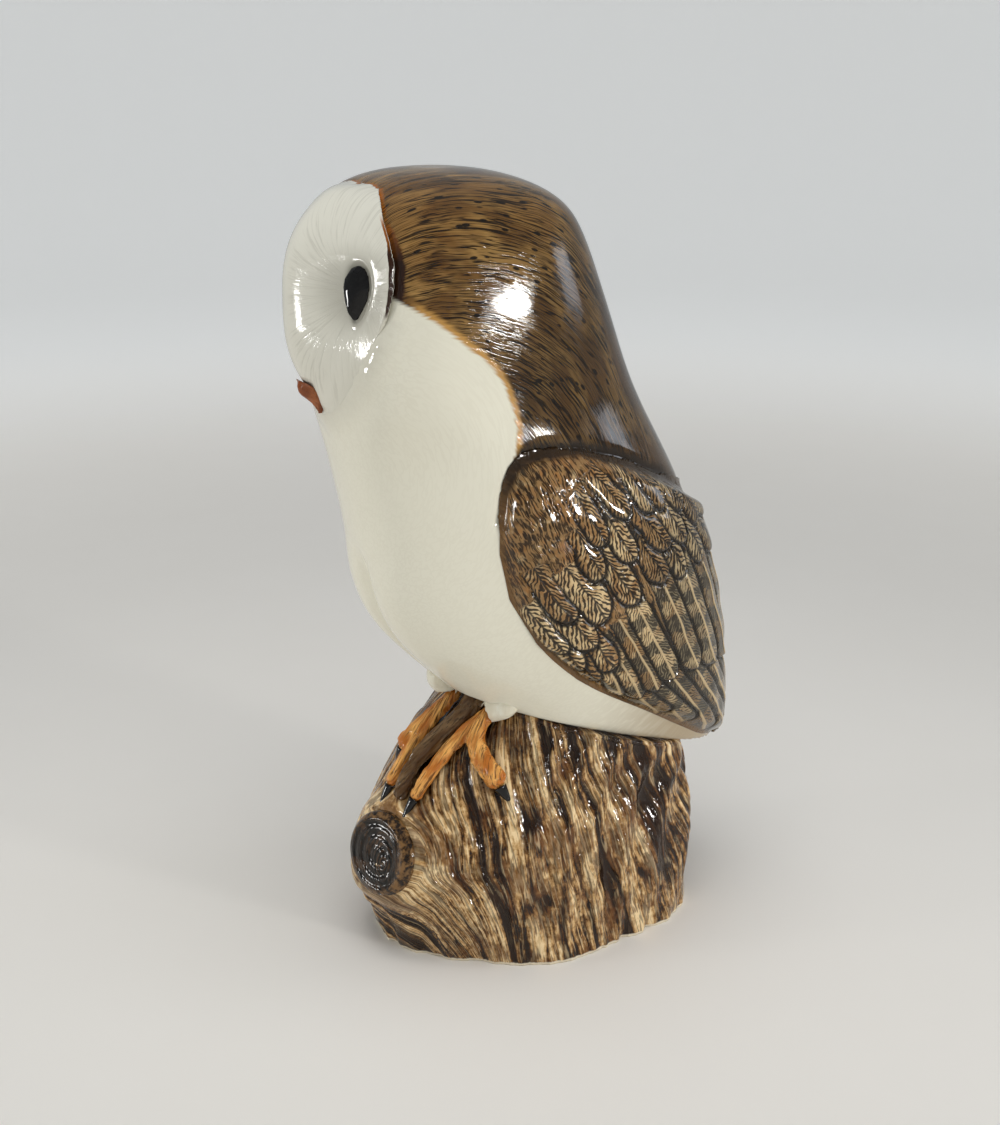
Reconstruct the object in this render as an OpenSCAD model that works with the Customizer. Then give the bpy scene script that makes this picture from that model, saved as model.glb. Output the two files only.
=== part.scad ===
// Glazed earthenware barn owl perched on a tree stump.
// Two hollow slip castings, the owl and the stump, with applied pieces luted on before firing.
// The owl faces -Y, +Z is up, and the origin is the middle of the stump's foot.

/* [Casting] */
// Wall of the hollow castings
wall = 5; // [3.5:0.5:6.5]
// Slip film between two pieces that are joined
slip = 0.25; // [0.2:0.05:0.4]
// Bore of the air hole between the owl and the stump
air_hole_d = 10; // [6:1:14]
// Bore of the vent through the stump's floor
vent_d = 3; // [2:0.5:3.5]

/* [Owl heights] */
// Front edge of the seat, where the belly meets the stump
seat_z = 88; // [84:1:92]
// Backward fall of the seat
seat_tilt = 18.5; // [15:0.5:21]
// Rise from the seat to the fullest part of the belly
belly_rise = 25; // [20:1:30]
// Rise from the belly to the fullest part of the breast
breast_rise = 35; // [30:1:40]
// Rise from the breast to the neck, just under the face
neck_rise = 32; // [28:1:36]
// Rise from the neck to the middle of the face
face_rise = 33; // [31:1:37]
// Rise from the middle of the face to the brow, where the crown starts to close
brow_rise = 23; // [20:1:27]
// Rise from the brow to the top of the crown
crown_rise = 14.5; // [12:0.5:18]

/* [Owl depths] */
// Reach of the seat in front of the origin
seat_front = 36; // [33:1:39]
// Reach of the belly in front of the origin
belly_front = 57; // [54:1:60]
// Reach of the breast in front of the origin
breast_front = 65; // [62:1:68]
// Reach of the neck in front of the origin
neck_front = 71; // [69:1:73]
// Reach of the head under the face
face_front = 67; // [65:1:68]
// Reach of the brow in front of the origin
brow_front = 65; // [62:1:67]
// Reach of the crown in front of the origin, before it is rounded over
crown_front = 66; // [62:1:68]
// Reach of the seat behind the origin
seat_back = 66; // [62:1:68]
// Reach of the rump behind the origin
belly_back = 62; // [58:1:64]
// Reach of the shoulders behind the origin
breast_back = 50; // [47:1:53]
// Reach of the nape behind the origin
neck_back = 30; // [27:1:33]
// Reach of the head behind the origin
face_back = 16; // [13:1:19]
// Reach of the brow behind the origin
brow_back = 6; // [3:1:9]
// Reach of the crown behind the origin, before it is rounded over
crown_back = -6; // [-10:1:-2]

/* [Owl widths] */
// Width of the seat
seat_width = 70; // [66:1:74]
// Width of the belly
belly_width = 87; // [83:1:91]
// Width of the breast
breast_width = 88; // [84:1:92]
// Width of the neck
neck_width = 79; // [76:1:83]
// Width of the head
face_width = 79; // [76:1:83]
// Width of the brow
brow_width = 74; // [71:1:77]
// Width of the crown, before it is rounded over
crown_width = 63; // [59:1:66]

/* [Face] */
// Width of the facial disc
disc_width = 70; // [66:1:72]
// Height of the facial disc above its middle
disc_up = 33.5; // [31:0.5:34.5]
// Drop of the facial disc below its middle
disc_down = 33.5; // [31:0.5:35.5]
// Reach of the bridge between the eyes in front of the origin
bridge_front = 84.6; // [82:0.2:87]
// Backward slope of each half of the disc
disc_yaw = 31; // [27:1:34]
// Depth of the dish round each eye
dish_depth = 4; // [2:0.5:5]
// Distance between the eyes
eye_spacing = 45; // [42:1:47]
// Height of the eyes above the middle of the disc
eye_rise = 5.5; // [3:0.5:8]
// Height of an eye
eye_height = 15.5; // [13:0.5:18]
// Width of an eye
eye_width = 8.5; // [7:0.5:10]
// Swell of an eye out of its dish
eye_bulge = 2.8; // [1.5:0.1:4]
// Length of the beak
beak_length = 10.5; // [9:0.5:12]
// Width of the beak at its root
beak_width = 13.5; // [12:0.5:15]
// Swell of the beak out of the face
beak_bulge = 3.2; // [2:0.1:4.5]

/* [Wings and tail] */
// Swell of a wing out of the side
wing_bulge = 6; // [4:0.5:8]
// Thickness of a wing at its edge
wing_edge = 1.2; // [0.8:0.1:2]
// Rise from the seat to the top of a wing's shoulder
shoulder_rise = 84; // [80:1:88]
// Feathers across a wing
feather_count = 9; // [7:1:11]
// Rows of short covert feathers above the flight feathers
covert_rows = 4; // [3:1:5]
// Lift of each feather's tip
feather_lift = 1.4; // [0.6:0.1:2]
// Swell of the tail out of the rump
tail_bulge = 5; // [3:0.5:7]
// Hang of the tail below the seat
tail_hang = 2.5; // [1:0.5:6]
// Feathers across the tail
tail_feathers = 5; // [3:1:6]

/* [Stump] */
// Reach of the foot in front of the origin
foot_front = 56; // [53:1:59]
// Reach of the foot behind the origin
foot_back = 51; // [48:1:54]
// Width of the foot
foot_width = 86; // [82:1:90]
// Height of the stump's bulge
bulge_z = 25; // [22:1:28]
// Reach of the bulge in front of the origin
bulge_front = 65; // [62:1:68]
// Reach of the bulge behind the origin
bulge_back = 54; // [51:1:57]
// Width of the bulge
bulge_width = 89; // [85:1:93]
// Reach of the slope under the feet in front of the origin
slope_front = 49; // [46:1:52]
// Reach of the stump behind the origin at the height of the feet
slope_back = 53; // [50:1:55]
// Width of the stump at the height of the feet
slope_width = 80; // [77:1:84]
// Reach of the stump's top in front of the origin
top_front = 27; // [24:1:31]
// Reach of the stump's top behind the origin
top_back = 50; // [47:1:53]
// Width of the stump's top
top_width = 78; // [75:1:81]
// Bark ribs round the stump
bark_ribs = 20; // [14:1:24]
// Depth of the bark ribs
bark_depth = 1.5; // [0.5:0.1:2]
// Swell of the roots at the foot
root_swell = 2; // [0:0.5:3]
// Roots round the foot
root_count = 5; // [3:1:7]
// Diameter of the sawn branch stub
stub_d = 28; // [25:1:30]
// Stand of the stub's sawn end out of the bark
stub_stand = 2.5; // [1.5:0.5:4]
// Growth rings on the stub's sawn end
stub_rings = 3; // [2:1:4]

/* [Feet] */
// Distance between the legs
leg_spacing = 12; // [10:1:14]
// Thickness of a leg's feather tuft
leg_d = 11; // [9:1:13]
// Thickness of the outer toe
toe_d = 7.5; // [6.5:0.5:8.5]
// Length of the toes down the bark
toe_length = 33; // [29:1:35]
// Swing of the outer toe away from the inner one
toe_swing = 16; // [13:1:19]
// Shift of both feet towards the owl's left
stance = 7.5; // [5:0.5:9]
// Length of a claw
claw_length = 7; // [5:0.5:9]
// Thickness of a claw at its root
claw_d = 6; // [5:0.5:6.5]
// Thickness of the bark spur between the feet
spur_d = 9; // [7:0.5:10]

/* [Hidden] */
white = [0.88, 0.87, 0.82];
bark = [0.36, 0.25, 0.15];
plumage = [0.42, 0.31, 0.19];
amber = [0.66, 0.38, 0.12];
black = [0.05, 0.05, 0.06];

// Smooth curves through hand-set stations

// Index of the last knot at or below x
function span_of(x, xs, i = 0) = i >= len(xs) - 2 || x < xs[i + 1] ? i : span_of(x, xs, i + 1);
// Slope of the curve at knot i, from its neighbours
function knot_slope(i, xs, ys) =
    let (a = max(i - 1, 0), b = min(i + 1, len(xs) - 1)) (ys[b] - ys[a]) / (xs[b] - xs[a]);
// Cubic curve through the points (xs, ys)
function curve(x, xs, ys) =
    let (i = span_of(x, xs), h = xs[i + 1] - xs[i], u = min(max((x - xs[i]) / h, 0), 1))
    let (m0 = knot_slope(i, xs, ys) * h, m1 = knot_slope(i + 1, xs, ys) * h)
    ys[i] * (1 + 2 * u) * pow(1 - u, 2) + m0 * u * pow(1 - u, 2)
    + ys[i + 1] * u * u * (3 - 2 * u) + m1 * u * u * (u - 1);
function ease(u) = let (t = min(max(u, 0), 1)) t * t * (3 - 2 * t);
function mix(a, b, u) = a + (b - a) * u;
function frac(x) = x - floor(x);
function unit(v) = v / norm(v);
function mean(points) = [for (c = [0:2]) ([for (p = points) 1] * [for (p = points) p[c]]) / len(points)];

// Solid from a stack of rings, closed by a fan at each end
module loft(rings) {
    n = len(rings[0]);
    m = len(rings);
    sides = [for (i = [0:m - 2], j = [0:n - 1]) let (k = (j + 1) % n)
        each [[i * n + j, (i + 1) * n + j, (i + 1) * n + k], [i * n + j, (i + 1) * n + k, i * n + k]]];
    ends = [for (j = [0:n - 1]) let (k = (j + 1) % n)
        each [[m * n, j, k], [m * n + 1, (m - 1) * n + k, (m - 1) * n + j]]];
    polyhedron([for (r = rings) each r, mean(rings[0]), mean(rings[m - 1])], concat(sides, ends));
}

// Round relief laid on a surface: seat rings run out to the rim, outer rings run back to the middle
module medallion(rings, spokes, seat, outer) {
    loft(concat([for (i = [1:rings]) [for (j = [0:spokes - 1]) seat(i / rings, 360 * j / spokes)]],
        [for (i = [rings:-1:1]) [for (j = [0:spokes - 1]) outer(i / rings, 360 * j / spokes)]]));
}

// Relief with four sides: a fine outer grid over a seat grid of half as many cells each way
module slab(seat, outer) {
    m = len(outer);
    n = len(outer[0]);
    h = (n + 1) / 2;
    base = m * n;
    skin = [for (i = [0:m - 2], j = [0:n - 2]) let (a = i * n + j)
        each [[a, a + 1, a + n + 1], [a, a + n + 1, a + n]]];
    floor_faces = [for (i = [0:(m - 3) / 2], j = [0:h - 2]) let (a = base + i * h + j)
        each [[a, a + h + 1, a + 1], [a, a + h, a + h + 1]]];
    // Each rim entry is an outer point, the step along its edge, the seat point below it and the step there
    far = (m - 1) * n;
    far_base = base + (m - 1) / 2 * h;
    rim = concat([for (j = [0:2:n - 3]) [j, 1, base + j / 2, 1]],
        [for (i = [0:2:m - 3]) [i * n + n - 1, n, base + i / 2 * h + h - 1, h]],
        [for (j = [n - 1:-2:2]) [far + j, -1, far_base + j / 2, -1]],
        [for (i = [m - 1:-2:2]) [i * n, -n, base + i / 2 * h, -h]]);
    sides = [for (e = rim) let (a = e[0], b = a + e[1], c = b + e[1], p = e[2], q = p + e[3])
        each [[p, b, a], [p, q, b], [q, c, b]]];
    polyhedron([for (r = outer) each r, for (i = [0:2:m - 1], j = [0:2:n - 1]) seat[i][j]],
        concat(skin, floor_faces, sides));
}

// Owl surface: a tilted oval at each level, named by the height of its front edge

belly_z = seat_z + belly_rise;
breast_z = belly_z + breast_rise;
neck_z = breast_z + neck_rise;
face_z = neck_z + face_rise;
brow_z = face_z + brow_rise;
crown_z = brow_z + crown_rise;
owl_zs = [seat_z, belly_z, breast_z, neck_z, face_z, brow_z, crown_z];
owl_fronts = [seat_front, belly_front, breast_front, neck_front, face_front, brow_front, crown_front];
owl_backs = [seat_back, belly_back, breast_back, neck_back, face_back, brow_back, crown_back];
owl_widths = [seat_width, belly_width, breast_width, neck_width, face_width, brow_width, crown_width];
body_fullness = 2.25;
mask_fullness = 5.5;
crown_fullness = 2.5;
mask_start = 0.4 * neck_rise;
mask_end = 0.25 * brow_rise;
crown_roundness = 2.5;
tilt_fade = 1.6;
owl_turns = 40;
owl_levels = 17;
crown_levels = 5;
crown_end = 84;
cavity_turns = 16;
cavity_levels = 9;

// Share of the crown's oval that is left at a level
function crown_share(z) = let (u = min(max((z - brow_z) / (crown_z - brow_z), 0), 1))
    pow(1 - pow(u, crown_roundness), 1 / crown_roundness);
function owl_mid(z) = (curve(z, owl_zs, owl_backs) - curve(z, owl_zs, owl_fronts)) / 2;
function owl_depth(z) = crown_share(z) * (curve(z, owl_zs, owl_backs) + curve(z, owl_zs, owl_fronts)) / 2;
function owl_half(z) = crown_share(z) * curve(z, owl_zs, owl_widths) / 2;
// The front of the head is squared off to carry the face
function front_fullness(z) =
    let (chest = mix(body_fullness, mask_fullness, ease((z - neck_z + mask_start) / face_rise)))
    mix(chest, crown_fullness, ease((z - brow_z + mask_end) / (crown_rise + mask_end)));
function owl_slope(z) = tan(seat_tilt) * pow(max(1 - (z - seat_z) / (neck_z - seat_z), 0), tilt_fade);
function oval(turn, half, depth, fullness) =
    pow(pow(abs(sin(turn)) / half, fullness) + pow(abs(cos(turn)) / depth, fullness), -1 / fullness);
// Point of the owl's surface at a turn from the front, towards the owl's left
function owl_at(turn, z, inset = 0) =
    let (fullness = cos(turn) > 0 ? front_fullness(z) : body_fullness)
    let (r = oval(turn, owl_half(z) - inset, owl_depth(z) - inset, fullness))
    let (y = owl_mid(z) - r * cos(turn))
    [r * sin(turn), y, z - owl_slope(z) * (y - owl_mid(z) + owl_depth(z))];
function owl_normal(turn, z) =
    let (d = 0.5, a = owl_at(turn + d, z) - owl_at(turn - d, z))
    let (b = owl_at(turn, z + d) - owl_at(turn, z - d))
    unit(cross(a, b));
// Place on the owl's skin, raised along its normal
function owl_skin(place, lift) = owl_at(place[0], place[1]) + lift * owl_normal(place[0], place[1]);
// Depth of the head's front at a place on the face
function head_front(x, z) = let (n = front_fullness(z))
    owl_mid(z) - owl_depth(z) * pow(max(1 - pow(abs(x) / owl_half(z), n), 0), 1 / n);

module owl_solid(grow = 0) {
    levels = concat([for (i = [0:owl_levels - 1]) mix(seat_z, brow_z, i / owl_levels)],
        [for (i = [0:crown_levels]) mix(brow_z, crown_z, sin(crown_end * i / crown_levels))]);
    loft([for (i = [0:len(levels) - 1]) [for (j = [0:owl_turns - 1])
        owl_at(360 * j / owl_turns, levels[i], -grow) - [0, 0, i == 0 ? grow : 0]]]);
}

// The cavity stops under the crown, where the oval is still wide
module owl_cavity() {
    top = mix(brow_z, crown_z, 0.75);
    loft([for (i = [0:cavity_levels]) let (z = mix(seat_z + wall, top, i / cavity_levels))
        [for (j = [0:cavity_turns - 1]) owl_at(360 * j / cavity_turns, z, wall)
            - [0, 0, wall * ease((z - face_z) / (top - face_z))]]]);
}

// Air hole square to the seat
module air_hole() {
    y = owl_mid(seat_z);
    translate([0, y, seat_z - tan(seat_tilt) * (y + seat_front)])
        rotate([-seat_tilt, 0, 0])
            cylinder(d = air_hole_d, h = 5 * wall, center = true, $fn = 48);
}

module owl_shell() {
    color(white)
        difference() {
            owl_solid();
            owl_cavity();
            air_hole();
        }
}

// Stump: an oval foot that leans in to a tilted top, with ribbed bark and a rooted foot

stump_turns = 80;
stump_levels = 10;
front_stump_fullness = 2;
back_stump_fullness = 2.5;
bulge_share = 0.33;
slope_share = 0.7;
stump_shares = [0, bulge_share, slope_share, 1];
bark_sway = 5;
rib_fade = 0.15;
bare_start = 0.4;
bare_side = 0.4;
bare_blend = 0.3;
root_turn = 75;
// Height of the stump's top, one slip film under the owl's seat
function top_at(y) = seat_z - slip / cos(seat_tilt) - tan(seat_tilt) * (y + seat_front);
function stump_front(u) = curve(u, stump_shares, [foot_front, bulge_front, slope_front, top_front]);
function stump_back(u) = curve(u, stump_shares, [foot_back, bulge_back, slope_back, top_back]);
function stump_width(u) = curve(u, stump_shares, [foot_width, bulge_width, slope_width, top_width]);
// Ribs die out towards the top edge and on the front slope
function bark_at(turn, u) = let (sway = turn + bark_sway * sin(3 * turn + 200 * u))
    let (bare = ease(u / bare_start) * ease((cos(turn) - bare_side) / bare_blend))
    bark_depth * sin(bark_ribs * sway) * ease((1 - u) / rib_fade) * (1 - bare)
    + root_swell * cos(root_count * (turn - root_turn)) * pow(1 - u, 2);
function stump_at(turn, u, inset = 0) =
    let (mid = (stump_back(u) - stump_front(u)) / 2, depth = (stump_back(u) + stump_front(u)) / 2 - inset)
    let (fullness = cos(turn) > 0 ? front_stump_fullness : back_stump_fullness)
    let (r = oval(turn, stump_width(u) / 2 - inset, depth, fullness) + (inset > 0 ? 0 : bark_at(turn, u)))
    let (y = mid - r * cos(turn), rise = (u - bulge_share) / (1 - bulge_share))
    [r * sin(turn), y, u < bulge_share ? bulge_z * u / bulge_share : mix(bulge_z, top_at(y), rise)];
function stump_normal(turn, u) =
    let (d = 0.5, e = 0.01, a = stump_at(turn + d, u) - stump_at(turn - d, u))
    unit(cross(a, stump_at(turn, u + e) - stump_at(turn, u - e)));
function stump_skin(turn, u, lift) = stump_at(turn, u) + lift * stump_normal(turn, u);

module stump_solid(grow = 0) {
    loft([for (i = [0:stump_levels]) [for (j = [0:stump_turns - 1])
        stump_at(360 * j / stump_turns, i / stump_levels, -grow) + [0, 0, i == stump_levels ? grow : 0]]]);
}

module stump_cavity() {
    loft([for (i = [0:cavity_levels]) let (u = i / cavity_levels)
        [for (j = [0:cavity_turns - 1]) let (p = stump_at(360 * j / cavity_turns, u, wall + bark_depth))
            [p[0], p[1], mix(wall, p[2] - wall / cos(seat_tilt), u)]]]);
}

module stump_shell() {
    color(bark)
        difference() {
            stump_solid();
            stump_cavity();
            air_hole();
            translate([0, foot_back / 3, -wall])
                cylinder(d = vent_d, h = 3 * wall, $fn = 32);
        }
}

// Face: a heart-shaped disc, ridged between the eyes and dished round them

disc_turns = [0, 30, 60, 90, 120, 150, 180];
disc_half = disc_width / 2;
disc_radii = [disc_up, 1.03 * disc_half, 1.02 * disc_half, 0.9 * disc_half, 0.82 * disc_half,
    0.9 * disc_down, disc_down];
disc_edge = 0.3 * wall;
disc_rings = 8;
disc_spokes = 32;
bridge_fall = 0.44 * disc_up;
bridge_reach = 0.95 * disc_up;
bridge_power = 2.9;
bridge_round = 0.06 * disc_width;
dish_wide = 0.16 * disc_width;
dish_high = 0.2 * disc_width;
eye_x = eye_spacing / 2;
eye_z = face_z + eye_rise;
function disc_radius(turn) = curve(turn > 180 ? 360 - turn : turn, disc_turns, disc_radii);
function disc_spot(share, turn) = let (r = share * disc_radius(turn))
    [-r * sin(turn), face_z + r * cos(turn)];
function bridge_at(z) = bridge_fall * pow(abs(z - face_z) / bridge_reach, bridge_power) - bridge_front;
function dish_at(x, z) =
    dish_depth * exp(-pow((abs(x) - eye_x) / dish_wide, 2) - pow((z - eye_z) / dish_high, 2));
function face_seat(x, z) = head_front(x, z) - slip;
function face_at(x, z) = min(face_seat(x, z) - disc_edge, bridge_at(z) + dish_at(x, z)
    + tan(disc_yaw) * (norm([x, bridge_round]) - bridge_round));
// Place on the face, raised towards the front
function face_skin(spot, lift) = [spot[0], face_at(spot[0], spot[1]) - lift, spot[1]];

module face_disc() {
    color(white)
        medallion(disc_rings, disc_spokes,
            function (r, t) let (s = disc_spot(r, t)) [s[0], face_seat(s[0], s[1]), s[1]],
            function (r, t) face_skin(disc_spot(r, t), 0));
}

// Eye: a black almond bead, pointed below and almost upright
eye_lean = 2;
eye_edge = 0.2 * eye_bulge;
eye_rings = 4;
eye_spokes = 14;
function eye_spot(r, turn) =
    let (x = -r * eye_width / 2 * sin(turn) * (0.75 + 0.25 * cos(turn)))
    let (z = r * eye_height / 2 * cos(turn))
    [eye_x + x * cos(eye_lean) + z * sin(eye_lean), eye_z + z * cos(eye_lean) - x * sin(eye_lean)];

module eye_left() {
    color(black)
        medallion(eye_rings, eye_spokes,
            function (r, t) face_skin(eye_spot(r, t), slip),
            function (r, t) face_skin(eye_spot(r, t), slip + eye_edge + eye_bulge * sqrt(1 - r * r)));
}

module eye_right() {
    mirror([1, 0, 0])
        eye_left();
}

// Beak: a small keeled wedge at the foot of the bridge
beak_drop = 0.82 * disc_down;
beak_edge = 0.15 * beak_bulge;
beak_hook = beak_bulge;
beak_rings = 3;
beak_spokes = 16;
function beak_spot(r, turn) = [-r * beak_width / 2 * sin(turn) * (0.62 + 0.6 * cos(turn)),
    face_z - beak_drop + r * beak_length / 2 * cos(turn)];
// Rise of the beak, hooked forward towards its tip
function beak_lift(r, turn) =
    slip + beak_edge + beak_bulge * (1 - r * r) + beak_hook * r * pow(1 - cos(turn), 2) / 4;

module beak() {
    color(amber)
        medallion(beak_rings, beak_spokes,
            function (r, t) face_skin(beak_spot(r, t), slip),
            function (r, t) face_skin(beak_spot(r, t), beak_lift(r, t)));
}

// Wing: a cushion on the side of the owl, from the shoulder to a tip beside the tail

wing_turn = 54.5;
spine_turn = 178.5;
tip_turn = 161;
tip_pull = 0.8;
rear_hold = 3;
wing_round = 0.2;
wing_start = 0.006;
wing_roll = 0.17 * shoulder_rise;
wing_rear = 0.7;
wing_low_turns = [55, 67, 82, 102, 126, 143, 180];
wing_low_shares = [0.288, 0.26, 0.192, 0.133, 0.062, 0.022, 0.004];
wing_top_turns = [55, 68, 92, 119, 142, 180];
wing_top_shares = [0.922, 0.98, 1, 0.948, 0.849, 0.735];
wing_middle = 0.583;
feather_cells = 4;
flight_cells = 10;
wing_cols = feather_cells * feather_count;
covert_cells = feather_cells * covert_rows;
wing_rows = covert_cells + flight_cells;
wing_span = 1.2 * belly_width;

// Share of a wing's rounded front that is open at a reach from its front edge
function wing_open(reach) = sqrt(1 - pow(1 - min((reach + wing_start) / wing_round, 1), 2));
// Place on the owl of a wing spot: a runs from the front edge to the spine, s from the shoulder to the tip;
// heights are shares of the shoulder's rise above the seat
function wing_place(a, s) =
    let (b = pow(a, tip_pull), top_turn = mix(wing_turn, spine_turn, a))
    let (low_turn = mix(wing_turn, tip_turn, b))
    let (top = mix(wing_middle, curve(top_turn, wing_top_turns, wing_top_shares), wing_open(a)))
    let (low = mix(wing_middle, curve(low_turn, wing_low_turns, wing_low_shares), wing_open(b)))
    [mix(top_turn, low_turn, pow(s, mix(1, rear_hold, a))), seat_z + shoulder_rise * mix(top, low, s)];
// Overlapping feathers: rounded coverts in rows half a feather out of step, then long flight feathers
function feather_at(row, col) =
    let (covert = row < covert_cells, r = floor(row / feather_cells))
    let (c = 2 * frac(col / feather_cells + (covert ? r / 2 : 0)) - 1)
    let (t = covert ? frac(row / feather_cells) : (row - covert_cells) / flight_cells)
    feather_lift * mix(0.2, 1, t) * (1 - 0.6 * c * c);
// Rise of the wing, rolled over at its edges
function wing_lift(row, col) =
    let (a = col / wing_cols, s = row / wing_rows, high = wing_place(a, 0)[1] - wing_place(a, 1)[1])
    let (inland = min(a * wing_span, s * high, (1 - s) * high, wing_roll) / wing_roll)
    let (cushion = (wing_bulge - wing_edge) * mix(1, wing_rear, a) - feather_lift)
    slip + wing_edge + sqrt(1 - pow(1 - inland, 2)) * (cushion + feather_at(row, col));

module wing_left() {
    places = [for (i = [0:wing_rows]) [for (j = [0:wing_cols]) wing_place(j / wing_cols, i / wing_rows)]];
    color(plumage)
        slab([for (row = places) [for (p = row) owl_skin(p, slip)]],
            [for (i = [0:wing_rows]) [for (j = [0:wing_cols]) owl_skin(places[i][j], wing_lift(i, j))]]);
}

module wing_right() {
    mirror([1, 0, 0])
        wing_left();
}

// Tail: a wedge of long feathers between the wing tips
tail_rise = 0.3 * shoulder_rise;
tail_gap = 0.6;
tail_rows = 8;
tail_cells = 2;
tail_cols = tail_cells * tail_feathers;
// Half the turn between the wings' rear edges at a level
function tail_half(z) =
    let (top = wing_place(1, 0)[1], low = wing_place(1, 1)[1], s = min((top - z) / (top - low), 1))
    180 - wing_place(1, s)[0] - tail_gap;
function tail_place(a, s) = let (z = mix(seat_z + tail_rise, seat_z - tail_hang, s))
    [180 + (2 * a - 1) * tail_half(z), z];
function tail_lift(row, col) = let (a = col / tail_cols)
    slip + wing_edge + (tail_bulge - wing_edge) * row / tail_rows * (1 - pow(2 * a - 1, 4))
    * mix(0.8, 1, col % tail_cells);

module tail() {
    places = [for (i = [0:tail_rows]) [for (j = [0:tail_cols]) tail_place(j / tail_cols, i / tail_rows)]];
    color(plumage)
        slab([for (row = places) [for (p = row) owl_skin(p, slip)]],
            [for (i = [0:tail_rows]) [for (j = [0:tail_cols]) owl_skin(places[i][j], tail_lift(i, j))]]);
}

// Legs and feet, laid on the stump's front slope; side is 1 for the left and -1 for the right

foot_share = 0.95;
toe_steps = 4;
toe_facets = 12;
toe_sink = 0.12;
slant = 1.2 * seat_z;
toe_drop = toe_length / slant;
outer_reach = 0.62;
right_swing = 0.2;
claw_steps = 4;
claw_drop = (claw_length + toe_d / 2) / slant;
claw_swing = 0.45;
claw_tip = 0.35;
leg_sink = 0.2 * leg_d;
tuft_out = 0.7 * leg_spacing;
// Turn round the stump to a place x across from its middle
function lane(x, u) = asin(x / -stump_at(0, u)[1]);
root_share = 0.75;
inner_share = 0.65;
// Toes of a foot as [swing away from the root, share of the full length, share of the thickness]
function toe_ends(side) =
    [[0, 1, inner_share], [side > 0 ? toe_swing : right_swing * toe_swing, outer_reach, 1]];
function foot_x(side, swing) = stance + side * (leg_spacing / 2 + swing);
// Middle of a toe, from its root at 0 to its end at 1; the claw runs on past the end
function toe_at(side, toe, t, lift) = let (u = foot_share - toe_drop * toe[1] * t)
    stump_skin(lane(foot_x(side, toe[0] * t * t), u), u, lift);
function claw_at(side, toe, t) = let (u = foot_share - (toe_drop + claw_drop * t) * toe[1])
    stump_skin(lane(foot_x(side, toe[0] * (1 + claw_swing * t)), u), u, mix(toe_sink * toe_d, 0, t * t));

module bead(place, d) {
    translate(place)
        sphere(d = d, $fn = toe_facets);
}

module toe_bead(side, toe, t, grow) {
    bead(toe_at(side, toe, t, toe_sink * toe_d), toe_d * mix(root_share, toe[2], t) + 2 * grow);
}

module claw_bead(side, toe, t) {
    bead(claw_at(side, toe, t), claw_d * toe[2] * mix(1, claw_tip, t));
}

module toes(side, grow = 0) {
    for (toe = toe_ends(side), i = [1:toe_steps])
        hull() {
            toe_bead(side, toe, (i - 1) / toe_steps, grow);
            toe_bead(side, toe, i / toe_steps, grow);
        }
}

module claws(side) {
    for (toe = toe_ends(side), i = [1:claw_steps])
        hull() {
            claw_bead(side, toe, (i - 1) / claw_steps);
            claw_bead(side, toe, i / claw_steps);
        }
}

module tuft(side, grow = 0) {
    hull() {
        bead(owl_at(lane(stance + side * tuft_out, foot_share), seat_z, leg_sink), leg_d + 2 * grow);
        bead(toe_at(side, toe_ends(side)[0], 0, 0), toe_d + 2 * grow);
    }
}

module leg(side) {
    color(white)
        difference() {
            tuft(side);
            owl_solid(slip);
            stump_solid(slip);
            toes(side, slip);
        }
}

module foot(side) {
    color(amber)
        difference() {
            toes(side);
            owl_solid(slip);
            stump_solid(slip);
        }
}

module claw_set(side) {
    color(black)
        difference() {
            claws(side);
            stump_solid(slip);
            toes(side, slip);
        }
}

module leg_left() {
    leg(1);
}

module leg_right() {
    leg(-1);
}

module foot_left() {
    foot(1);
}

module foot_right() {
    foot(-1);
}

module claws_left() {
    claw_set(1);
}

module claws_right() {
    claw_set(-1);
}

// Bark spur: a rough ridge that runs down between the feet to the branch stub

spur_top = 0.97;
spur_foot = 0.62;
spur_steps = 6;
spur_bend = 1.5;
spur_taper = 0.7;
function spur_at(t) = let (u = mix(spur_top, spur_foot, t))
    stump_skin(lane(stance + spur_bend * sin(360 * t), u), u, 0);

module bark_spur() {
    color(bark)
        difference() {
            for (i = [1:spur_steps])
                hull() {
                    bead(spur_at((i - 1) / spur_steps), spur_d * mix(1, spur_taper, (i - 1) / spur_steps));
                    bead(spur_at(i / spur_steps), spur_d * mix(1, spur_taper, i / spur_steps));
                }
            owl_solid(slip);
            stump_solid(slip);
            for (side = [-1, 1]) {
                toes(side, slip);
                tuft(side, slip);
            }
        }
}

// Branch stub: a sawn end with growth rings, standing out of the bark under the spur

stub_share = 0.43;
stub_turn = 9.5;
stub_aim = 21;
stub_lift = 12;
stub_lip = 0.08 * stub_d;
ring_depth = 0.025 * stub_d;
stub_pitch = (stub_d / 2 - stub_lip) / (stub_rings + 0.5);

module stub_core() {
    r = stub_d / 2;
    translate(stump_at(stub_turn, stub_share))
        rotate([90 - stub_lift, 0, stub_aim])
            rotate_extrude($fn = 30)
                polygon([[0, -r], [r, -r], [r, stub_stand - stub_lip], [r - stub_lip, stub_stand],
                    for (i = [stub_rings:-1:1]) each [[(i + 0.25) * stub_pitch, stub_stand],
                        [i * stub_pitch, stub_stand - ring_depth], [(i - 0.25) * stub_pitch, stub_stand]],
                    [0, stub_stand]]);
}

module branch_stub() {
    color(bark)
        difference() {
            stub_core();
            stump_solid(slip);
        }
}

owl_shell();
stump_shell();
wing_left();
wing_right();
tail();
face_disc();
eye_left();
eye_right();
beak();
leg_left();
leg_right();
foot_left();
foot_right();
claws_left();
claws_right();
branch_stub();
bark_spur();
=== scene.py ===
import itertools
import math

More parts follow.
